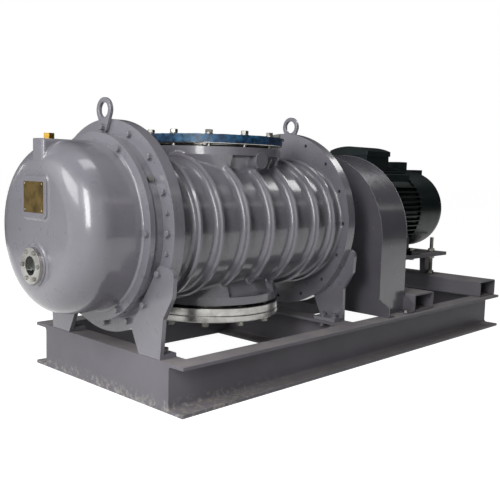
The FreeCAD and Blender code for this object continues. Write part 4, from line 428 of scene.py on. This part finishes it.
def hexagon_head(tree, half, height, seat):
    """A hexagon head with a turned chamfer: a drum of three rings, whose points are moved out to the
    flats and up to the head's height, and at its top in to the crown."""
    start = add(tree, "GeometryNodeMeshCylinder", {"Vertices": 24, "Side Segments": 2, "Radius": 1.0,
                                                   "Depth": 2.0}).outputs[0]
    place = add(tree, "ShaderNodeSeparateXYZ", {0: add(tree, "GeometryNodeInputPosition").outputs[0]})
    turn = times(tree, place.outputs[1], place.outputs[0], "ARCTAN2")
    sector = times(tree, turn, math.radians(60), "FLOORED_MODULO")
    off_flat = times(tree, sector, math.radians(30), "SUBTRACT")
    reach = times(tree, half, times(tree, off_flat, 0.0, "COSINE"), "DIVIDE")
    crown = times(tree, half, 0.95)
    above = times(tree, place.outputs[2], 0.0, "MAXIMUM")
    pulled_in = times(tree, times(tree, reach, crown, "SUBTRACT"), above)
    radius = times(tree, reach, pulled_in, "SUBTRACT")
    drop = times(tree, times(tree, radius, crown, "SUBTRACT"), math.tan(math.radians(30)))
    side_top = times(tree, height, drop, "SUBTRACT")
    standing = times(tree, place.outputs[2], -0.5, "GREATER_THAN")
    level = times(tree, times(tree, side_top, standing), seat, "ADD")
    moved = add(tree, "ShaderNodeCombineXYZ", {"X": times(tree, place.outputs[0], radius),
                                               "Y": times(tree, place.outputs[1], radius),
                                               "Z": level}).outputs[0]
    return add(tree, "GeometryNodeSetPosition", {"Geometry": start, "Position": moved}).outputs[0]


def bolt_tree():
    """Bolts on seats: shank, flat washer, spring washer and head, each turned by chance."""
    tree, given = sized_tree("bolts_on_seats", ("Across flats", "Head height", "Washer thickness",
                                                "Shank radius", "Shank length"))
    half = times(tree, given["Across flats"], 0.5)
    thick = given["Washer thickness"]
    whole = add(tree, "GeometryNodeJoinGeometry")
    for part in (
        drum(tree, given["Shank radius"], given["Shank length"],
             times(tree, given["Shank length"], -1.0), 12),
        drum(tree, times(tree, half, 1.27), thick, 0.0),
        drum(tree, times(tree, half, 1.02), thick, thick),
        hexagon_head(tree, half, given["Head height"], times(tree, thick, 2.0)),
    ):
        tree.links.new(part, whole.inputs[0])
    facing = add(tree, "GeometryNodeInputNamedAttribute", {"Name": "facing"}, data_type="FLOAT_VECTOR")
    upright = add(tree, "FunctionNodeAlignRotationToVector", {"Vector": facing.outputs[0]}, axis="Z")
    chance = add(tree, "FunctionNodeRandomValue", {"Seed": 4}, data_type="FLOAT")
    chance.inputs[3].default_value = math.radians(60)
    spin = add(tree, "FunctionNodeAxisAngleToRotation", {"Axis": (0, 0, 1), "Angle": chance.outputs[1]})
    turned = add(tree, "FunctionNodeRotateRotation", {0: upright.outputs[0], 1: spin.outputs[0]},
                 rotation_space="LOCAL")
    placed = add(tree, "GeometryNodeInstanceOnPoints", {"Points": given["Geometry"],
                                                        "Instance": whole.outputs[0],
                                                        "Rotation": turned.outputs[0]})
    return end_tree(tree, given, placed.outputs[0])


def weld_tree():
    """Weld beads along lines, with a ripple for each pool and an uneven swell."""
    tree, given = sized_tree("weld_beads", ("Bead radius", "Ripple length", "Step"))
    line = add(tree, "GeometryNodeMeshToCurve", {"Mesh": given["Geometry"]}).outputs[0]
    even = add(tree, "GeometryNodeResampleCurve", {"Curve": line, "Length": given["Step"]}, mode="LENGTH")
    along = add(tree, "GeometryNodeSplineParameter").outputs["Length"]
    wave = times(tree, times(tree, along, given["Ripple length"], "DIVIDE"), math.tau)
    rough = add(tree, "ShaderNodeTexNoise", {"Scale": 60.0}).outputs["Fac"]
    ripple = times(tree, times(tree, wave, 0.0, "COSINE"), 0.16)
    swell = times(tree, times(tree, ripple, times(tree, rough, 0.3), "ADD"), 0.85, "ADD")
    ring = add(tree, "GeometryNodeCurvePrimitiveCircle", {"Resolution": 8, "Radius": 1.0}).outputs[0]
    bead = add(tree, "GeometryNodeCurveToMesh", {"Curve": even.outputs[0], "Profile Curve": ring,
                                                 "Fill Caps": True,
                                                 "Scale": times(tree, swell, given["Bead radius"])})
    return end_tree(tree, given, bead.outputs[0])


BOLTS = bolt_tree()
BEADS = weld_tree()


def grow(name, start, tree, sizes, body, slot, replaced=(), smooth=40):
    """A tree run on a starting mesh with its sizes, kept as a plain mesh."""
    holder = bpy.data.objects.new(name + "_start", start)
    bpy.context.scene.collection.objects.link(holder)
    run = holder.modifiers.new("run", "NODES")
    run.node_group = tree
    values = dict(sizes, Finish=MATERIALS[slot])
    for item in tree.interface.items_tree:
        if item.in_out == "INPUT" and item.name in values:
            run[item.identifier] = values[item.name]
    evaluated = holder.evaluated_get(bpy.context.evaluated_depsgraph_get())
    made = bpy.data.meshes.new_from_object(evaluated)
    bpy.data.objects.remove(holder)
    work = bmesh.new()
    work.from_mesh(made)
    bmesh.ops.recalc_face_normals(work, faces=work.faces)
    work.to_mesh(made)
    work.free()
    return piece(name, made, body, slot, replaced, smooth)


def bolts(name, body, slot, seats, radius, length, replaced=(), tall=1.3, washer=0.36):
    """Hexagon bolts on their seats: each seat is a point and a direction. The height of the head and
    the thickness of a washer are given as shares of the shank's radius."""
    start = bpy.data.meshes.new(name + "_seats")
    start.from_pydata([point for point, facing in seats], [], [])
    facings = start.attributes.new("facing", "FLOAT_VECTOR", "POINT")
    for item, (point, facing) in zip(facings.data, seats):
        item.vector = facing
    sizes = {"Across flats": radius * 3, "Head height": radius * tall, "Washer thickness": radius * washer,
             "Shank radius": radius, "Shank length": length}
    grow(name, start, BOLTS, sizes, body, slot, replaced, smooth=30)


def weld(name, body, slot, runs, radius):
    """Weld beads along runs of points."""
    corners, lines = [], []
    for points in runs:
        first = len(corners)
        corners += points
        lines += [(index, index + 1) for index in range(first, len(corners) - 1)]
    start = bpy.data.meshes.new(name + "_lines")
    start.from_pydata(corners, lines, [])
    sizes = {"Bead radius": radius, "Ripple length": 0.006, "Step": 0.0024}
    grow(name, start, BEADS, sizes, body, slot, smooth=0)


# Seats of bolts

def round_seats(middle, radius, count, first, facing, up=UP):
    """Seats evenly spaced round a middle point, the first at an angle in degrees from a direction."""
    seats = []
    for number in range(count):
        turn = math.radians(first) + math.tau * number / count
        spot = middle + ACROSS * (radius * math.sin(turn)) + up * (radius * math.cos(turn))
        seats.append((spot, facing))
    return seats


def on_shaft(place, drop=0.0):
    """A point at a station, at the shafts' height or below it."""
    return Vector((station(place), 0, SHAFT_HEIGHT - drop))


def plate_seats(place, facing):
    """Seats round a side plate: the lug lies under its top bolt, and a foot under two on each side."""
    lug_thick, foot_thick = 0.018, 0.020
    seats = []
    for number, (point, way) in enumerate(round_seats(on_shaft(place), PLATE_CIRCLE, 16, 0, facing)):
        thick = lug_thick if number == 0 else foot_thick if number in (5, 6, 10, 11) else 0.0
        seats.append((point + facing * thick, way))
    return seats


def jack_seats():
    """Two jacking screws on each side of the gear side plate, above and below the shafts' height."""
    seats = []
    for side in (-1, 1):
        for degrees in (79, 101):
            turn = math.radians(degrees)
            spot = Vector((station(GEAR_PLATE_FRONT), side * PLATE_CIRCLE * math.sin(turn),
                           SHAFT_HEIGHT + PLATE_CIRCLE * math.cos(turn)))
            seats.append((spot, TOWARDS_GEAR))
    return seats


def port_seats():
    """Bolts down through the inlet's flange and up through the outlet's."""
    middle = Vector((station(PORT_STATION), 0, 0))
    return (round_seats(middle + UP * INLET_TOP, PORT_CIRCLE, 12, 15, UP, ALONG)
            + round_seats(middle + UP * OUTLET_UNDER, PORT_CIRCLE, 12, 15, DOWN, ALONG))


def foot_seats():
    """Heads over each foot, and under the flange of the skid below it."""
    seats = []
    for place in FOOT_STATIONS:
        for across in (-0.364, -0.292, 0.292, 0.364):
            seats += [(Vector((station(place), across, FOOT_TOP)), UP),
                      (Vector((station(place), across, FOOT_UNDER)), DOWN)]
    return seats


# Film over the inlet board and the rim of its flange

def inlet_film():
    """One skin over the board: a wrinkled top, a rounded edge, and a skirt with a wavy hem."""
    radius, top, bottom = 0.3382, 1.1046, 1.0680
    top_wrinkle, side_wrinkle, hem_wave = 0.0013, 0.0009, 0.0025
    stand_off = 0.0006
    steps = 240
    middle = Vector((station(PORT_STATION), 0, 0))
    reaches = [0.02, 0.06, 0.1, 0.14, 0.18, 0.215, 0.245, 0.27, 0.29, 0.305, 0.318, 0.328, 0.334,
               radius]
    levels = [1.1040, 1.1010, 1.0975, 1.0935, 1.0895, 1.0855, 1.0815, 1.0775, 1.0740, 1.0710, bottom]
    work = bmesh.new()
    rings = []
    centre = work.verts.new(middle + UP * top)
    for step in range(steps):
        turn = math.tau * step / steps
        outward = Vector((math.cos(turn), math.sin(turn), 0))
        column = []
        for reach in reaches:
            point = middle + outward * reach
            lift = top_wrinkle * noise.noise(Vector((point.x, point.y, 0)) * 34)
            column.append(work.verts.new(point + UP * (top + lift)))
        for level in levels:
            sag = abs(side_wrinkle * noise.noise(Vector((turn * 9, level * 60, 3))))
            drop = hem_wave * noise.noise(Vector((turn * 7, 0, 9))) if level == bottom else 0
            spot = middle + outward * (radius + stand_off + sag) + UP * (level + drop)
            column.append(work.verts.new(spot))
        rings.append(column)
    for step in range(steps):
        here, there = rings[step], rings[(step + 1) % steps]
        work.faces.new((centre, here[0], there[0]))
        for low, high, next_low, next_high in zip(here, here[1:], there, there[1:]):
            work.faces.new((low, high, next_high, next_low))
    piece("inlet_film", mesh_of("inlet_film", work), "skid", "blue_film", ["inlet_film_board"], smooth=60)


inlet_film()


# Casting radii: the inside corners of a casting, filled by smoothing a fine copy of it

def patches(work):
    """The faces of a mesh in groups that hang together."""
    left = set(work.faces)
    found = []
    while left:
        patch = [left.pop()]
        for face in patch:
            for edge in face.edges:
                for other in edge.link_faces:
                    if other in left:
                        left.remove(other)
                        patch.append(other)
        found.append(patch)
    return found


def fine_copy(name, source, voxel, rounds):
    """A mesh remade in fine even faces, smoothed, and sunk a little so that only filled corners show."""
    sunk = 0.0006
    holder = bpy.data.objects.new(name, source)
    bpy.context.scene.collection.objects.link(holder)
    fine = holder.modifiers.new("fine", "REMESH")
    fine.mode = "VOXEL"
    fine.voxel_size = voxel
    even = holder.modifiers.new("even", "SMOOTH")
    even.factor = 0.5
    even.iterations = rounds
    sink = holder.modifiers.new("sink", "DISPLACE")
    sink.mid_level = 0.0
    sink.strength = -sunk
    evaluated = holder.evaluated_get(bpy.context.evaluated_depsgraph_get())
    smoothed = bpy.data.meshes.new_from_object(evaluated)
    bpy.data.objects.remove(holder)
    return smoothed


def casting_radii(name, body, slot, nodes, voxel, rounds, wanted):
    """The parts of the smoothed copy that stand proud of the casting, where they are wanted."""
    least_proud, least_faces = 0.0004, 160
    work = bmesh.new()
    for node in nodes:
        copy = NODES[node].data.copy()
        copy.transform(NODES[node].matrix_world)
        work.from_mesh(copy)
        bpy.data.meshes.remove(copy)
    surface = BVHTree.FromBMesh(work)
    smoothed = fine_copy(name + "_source", mesh_of(name + "_source", work), voxel, rounds)
    work = bmesh.new()
    work.from_mesh(smoothed)
    proud = {}
    for vertex in work.verts:
        proud[vertex] = False
        if wanted(vertex.co):
            nearest, normal = surface.find_nearest(vertex.co)[:2]
            proud[vertex] = (vertex.co - nearest).dot(normal) > least_proud
    spare = [face for face in work.faces if not any(proud[vertex] for vertex in face.verts)]
    bmesh.ops.delete(work, geom=spare, context="FACES")
    specks = [face for patch in patches(work) if len(patch) < least_faces for face in patch]
    bmesh.ops.delete(work, geom=specks, context="FACES")
    piece(name, mesh_of(name, work), body, slot, smooth=0)


def off_axis(point, across):
    """How far a point is from a line along the shafts."""
    return math.hypot(point.y - across, point.z - SHAFT_HEIGHT)


def outside_housing(point):
    """Clear of the bores, the throats, the end faces and the flange bolts."""
    margin, plate_reach, bore_spread, wall_reach = 0.004, 0.43, 0.11, 0.262
    throat_reach, flange_reach = 0.22, 0.346
    first, last = HOUSING_CLEAR
    if not station(first) - margin < point.x < station(last) + margin:
        return False
    nearest_bore = max(-bore_spread, min(bore_spread, point.y))
    if off_axis(point, 0) > plate_reach or off_axis(point, nearest_bore) < wall_reach:
        return False
    from_port = math.hypot(point.x - station(PORT_STATION), point.y)
    return from_port > throat_reach and abs(point.z - SHAFT_HEIGHT) < flange_reach


def outside_cover(point):
    """Clear of the inside of the dome and of its flange bolts."""
    bolt_reach, flange_clear, dome_core, dome_round = 0.363, 0.002, 0.228, 0.117
    reach = off_axis(point, 0)
    if reach > bolt_reach or point.x > station(COVER_FLANGE_FRONT) - flange_clear:
        return False
    share = min(1, dome_core / max(reach, 0.001))
    core = Vector((max(point.x, station(DOME_SPRING)), point.y * share, (point.z - SHAFT_HEIGHT) * share))
    away = (Vector((point.x, point.y, point.z - SHAFT_HEIGHT)) - core).length
    return away > dome_round or point.x < station(DOME_NOSE)


casting_radii("housing_radii", "skid", "pump_paint", ["rotor_housing", "inlet_neck", "outlet_neck"],
              0.006, 26, outside_housing)
casting_radii("cover_radii", "skid", "pump_paint", ["gear_cover"], 0.004, 22, outside_cover)

# Bolts
bolts("gear_plate_hexagons", "skid", "painted_bolts", plate_seats(GEAR_PLATE_FRONT, TOWARDS_GEAR),
      0.008, 0.03, ["gear_plate_bolts"])
bolts("drive_plate_hexagons", "skid", "painted_bolts",
      plate_seats(DRIVE_PLATE_BACK, ALONG)
      + round_seats(on_shaft(END_COVER_BACK), END_COVER_CIRCLE, 12, 0, ALONG),
      0.008, 0.02, ["drive_plate_bolts"])
bolts("cover_hexagons", "skid", "painted_bolts",
      round_seats(on_shaft(COVER_FLANGE_FRONT), COVER_CIRCLE, 6, 30, TOWARDS_GEAR), 0.008, 0.03)
# Low heads on thin washers, so that they stand no further out than the solids do
bolts("sight_hexagons", "skid", "bolt_steel",
      round_seats(on_shaft(SIGHT_FRONT, drop=0.143), SIGHT_CIRCLE, 6, 30, TOWARDS_GEAR),
      0.005, 0.02, ["gear_cover_fasteners"], tall=1.0, washer=0.14)
bolts("jacking_screws", "skid", "painted_bolts", jack_seats(), 0.006, 0.01)
bolts("port_hexagons", "skid", "bolt_steel", port_seats(), 0.010, 0.062, ["port_bolts"])
bolts("foot_hexagons", "skid", "painted_bolts", foot_seats(), 0.010, 0.016, ["foot_bolts"])


def nameplate_screws():
    """Domed screws in the nameplate's corners."""
    plate_rise = 0.126
    profile = [(0.0001, 0), (0.0034, 0), (0.0030, 0.0011), (0.0019, 0.0018), (0.0001, 0.0021)]
    work = bmesh.new()
    for across in (-0.0635, 0.0635):
        for rise in (-0.0515, 0.0515):
            spot = (station(NAMEPLATE_FRONT), across, SHAFT_HEIGHT + plate_rise + rise)
            lathe(work, profile, 16, towards(spot, TOWARDS_GEAR))
    piece("nameplate_screws", mesh_of("nameplate_screws", work), "skid", "bolt_steel")


nameplate_screws()


# Welds

def tube_runs():
    """Runs across the channels' tops, along both edges of each cross tube."""
    inner, outer = 0.445, 0.508
    runs = []
    for side in (-1, 1):
        for place in TUBE_EDGES:
            runs.append([Vector((station(place), side * inner, SKID_TOP)),
                         Vector((station(place), side * outer, SKID_TOP))])
    return runs


def guard_runs():
    """Runs over the guard, where each side meets its wrapper."""
    turns = [math.pi * step / 90 for step in range(91)]
    return [[Vector((station(place), -GUARD_RADIUS * math.cos(turn),
                     GUARD_CENTRE + GUARD_RADIUS * math.sin(turn))) for turn in turns]
            for place in GUARD_SIDES]


weld("tube_welds", "skid", "skid_paint", tube_runs(), 0.004)
weld("guard_welds", "skid", "guard_paint", guard_runs(), 0.0022)


def belt_runs():
    """The belts between the pump's pulley, on the skid, and the motor's, on the plate: one piece on no body,
    with its doubled points merged."""
    merge, belt_middle = 0.00001, 0.373
    work = bmesh.new()
    work.from_mesh(NODES["v_belts"].data)
    bmesh.ops.remove_doubles(work, verts=work.verts, dist=merge)
    belts = piece("belt_runs", mesh_of("belt_runs", work), None, "belt_rubber", ["v_belts"])
    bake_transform(belts)


belt_runs()


# Camera at the photo's viewing angle

def look(yaw, pitch, roll):
    """Camera axes for a heading from +X, a drop below the horizon and a roll."""
    yaw, pitch, roll = map(math.radians, (yaw, pitch, roll))
    forward = Vector((math.cos(yaw) * math.cos(pitch), math.sin(yaw) * math.cos(pitch), -math.sin(pitch)))
    right = Vector((math.sin(yaw), -math.cos(yaw), 0))
    up = right.cross(forward)
    turned_right = right * math.cos(roll) + up * math.sin(roll)
    turned_up = up * math.cos(roll) - right * math.sin(roll)
    return Matrix((turned_right, turned_up, -forward)).transposed()


camera = bpy.data.objects.new("camera", bpy.data.cameras.new("camera"))
bpy.context.scene.collection.objects.link(camera)
heading = look(yaw=43.9812, pitch=6.1946, roll=1.4851)
camera.matrix_world = Matrix.Translation((-2.8978, -2.5509, 0.9435)) @ heading.to_4x4()
camera.data.sensor_width = 36
camera.data.lens = 51.627
camera.data.clip_start = 0.05
camera.data.clip_end = 200
bpy.context.scene.camera = camera


# Lamps, floor, cards and world

def lamp(name, place, aim, width, height, power):
    """A soft white lamp of a size in metres and a power in watts, aimed at a point."""
    light = bpy.data.lights.new(name, "AREA")
    light.shape = "RECTANGLE"
    light.size, light.size_y = width, height
    light.energy = power
    light.color = colour("FFFFFF")[:3]
    made = bpy.data.objects.new(name, light)
    bpy.context.scene.collection.objects.link(made)
    made.matrix_world = towards(place, Vector(place) - Vector(aim))


lamp("key", (-3.7, -1.75, 2.0), (-0.9, 0, 0.7), 0.8, 2.4, 80)
lamp("gear_end", (-4.6, 0.6, 2.6), (-0.9, 0, 0.6), 2.2, 1.6, 62)
lamp("top", (-0.9, -0.3, 4.2), (-0.9, 0, 0.6), 2.0, 0.9, 26)
lamp("overhead", (3.1, -0.8, 3.6), (0.3, -0.2, 0.8), 1.3, 0.8, 22)
lamp("far_side", (-1.0, 4.8, 1.3), (-0.3, 0, 0.6), 2.6, 1.2, 40)


def seen_directly(tree):
    """Whether a ray comes from the camera, a mirror or a glass."""
    paths = add(tree, "ShaderNodeLightPath")
    seen = times(tree, paths.outputs["Is Camera Ray"], paths.outputs["Is Transmission Ray"], "MAXIMUM")
    return times(tree, seen, paths.outputs["Is Glossy Ray"], "MAXIMUM")


def sheet(name, width, height, placement, material):
    """A flat sheet of the stage, about the middle of its placement."""
    work = bmesh.new()
    bmesh.ops.create_grid(work, x_segments=1, y_segments=1, size=0.5)
    bmesh.ops.scale(work, vec=(width, height, 1), verts=work.verts)
    made = bpy.data.objects.new(name, mesh_of(name, work))
    bpy.context.scene.collection.objects.link(made)
    made.matrix_world = placement
    made.data.materials.append(material)
    return made


def white_floor():
    """Floor paint that is pure white to the eye where it is lit, and keeps the object's shadow."""
    patch_size = 1.5
    material, tree, shader, where = begin("white_floor")
    shade = grain(tree, where, patch_size, 2)
    tree.links.new(blend(tree, shade, colour("9C9C9C"), colour("A2A2A2")), shader.inputs["Base Color"])
    shader.inputs["Roughness"].default_value = 0.9
    shader.inputs["Specular IOR Level"].default_value = 0.0
    strength = times(tree, seen_directly(tree), 0.96)
    glow = add(tree, "ShaderNodeEmission", {"Color": colour("FFFFFF"), "Strength": strength})
    show(tree, add(tree, "ShaderNodeAddShader", {0: shader.outputs[0], 1: glow.outputs[0]}).outputs[0])
    return material


def dark_card():
    """Black card that thins out towards its edges, so that gloss shows no hard corner."""
    middle, edge, full_to = 0.5, 0.5, 0.39
    material, tree, shader, where = begin("dark_card")
    shader.inputs["Base Color"].default_value = colour("2A2A2C")
    shader.inputs["Roughness"].default_value = 1.0
    place = add(tree, "ShaderNodeSeparateXYZ", {0: add(tree, "ShaderNodeTexCoord").outputs["Generated"]})
    inset = []
    for axis in (0, 1):
        off_middle = times(tree, times(tree, place.outputs[axis], middle, "SUBTRACT"), 0.0, "ABSOLUTE")
        inset.append(between(tree, off_middle, edge, full_to))
    clear = add(tree, "ShaderNodeBsdfTransparent")
    show(tree, add(tree, "ShaderNodeMixShader", {0: times(tree, inset[0], inset[1]), 1: clear.outputs[0],
                                                 2: shader.outputs[0]}).outputs[0])
    return material


sheet("floor", 120, 120, Matrix.Translation((0, 0, -0.0005)), white_floor())

# Dark cards that only mirrors see, as in a studio, so that gloss has something to show
CARD = dark_card()
for name, width, height, place, facing in (
    ("near_card", 12.4, 4.2, (4.2, -3.8, 1.4), (0, 1, 0)),
    ("far_card", 16.0, 5.6, (2.6, 4.6, 2.2), (0, -1, 0)),
    ("end_card", 10.4, 5.6, (8.5, 0.4, 2.2), (-1, 0, 0)),
    ("top_card", 16.0, 10.8, (2.2, 0.4, 4.5), (0, 0, -1)),
):
    card = sheet(name, width, height, towards(place, facing), CARD)
    card.visible_camera = False
    card.visible_diffuse = False
    card.visible_transmission = False
    card.visible_shadow = False

# A dim world for light, and a white one for the eye
world = bpy.data.worlds.new("hall")
bpy.context.scene.world = world
world.use_nodes = True
tree = world.node_tree
tree.nodes.clear()
strength = between(tree, seen_directly(tree), 0, 1, 0.1, 1.0)
background = add(tree, "ShaderNodeBackground", {"Color": colour("FFFFFF"), "Strength": strength})
add(tree, "ShaderNodeOutputWorld", {"Surface": background.outputs[0]})

bpy.context.scene.view_settings.view_transform = "Standard"

bpy.context.view_layer.update()
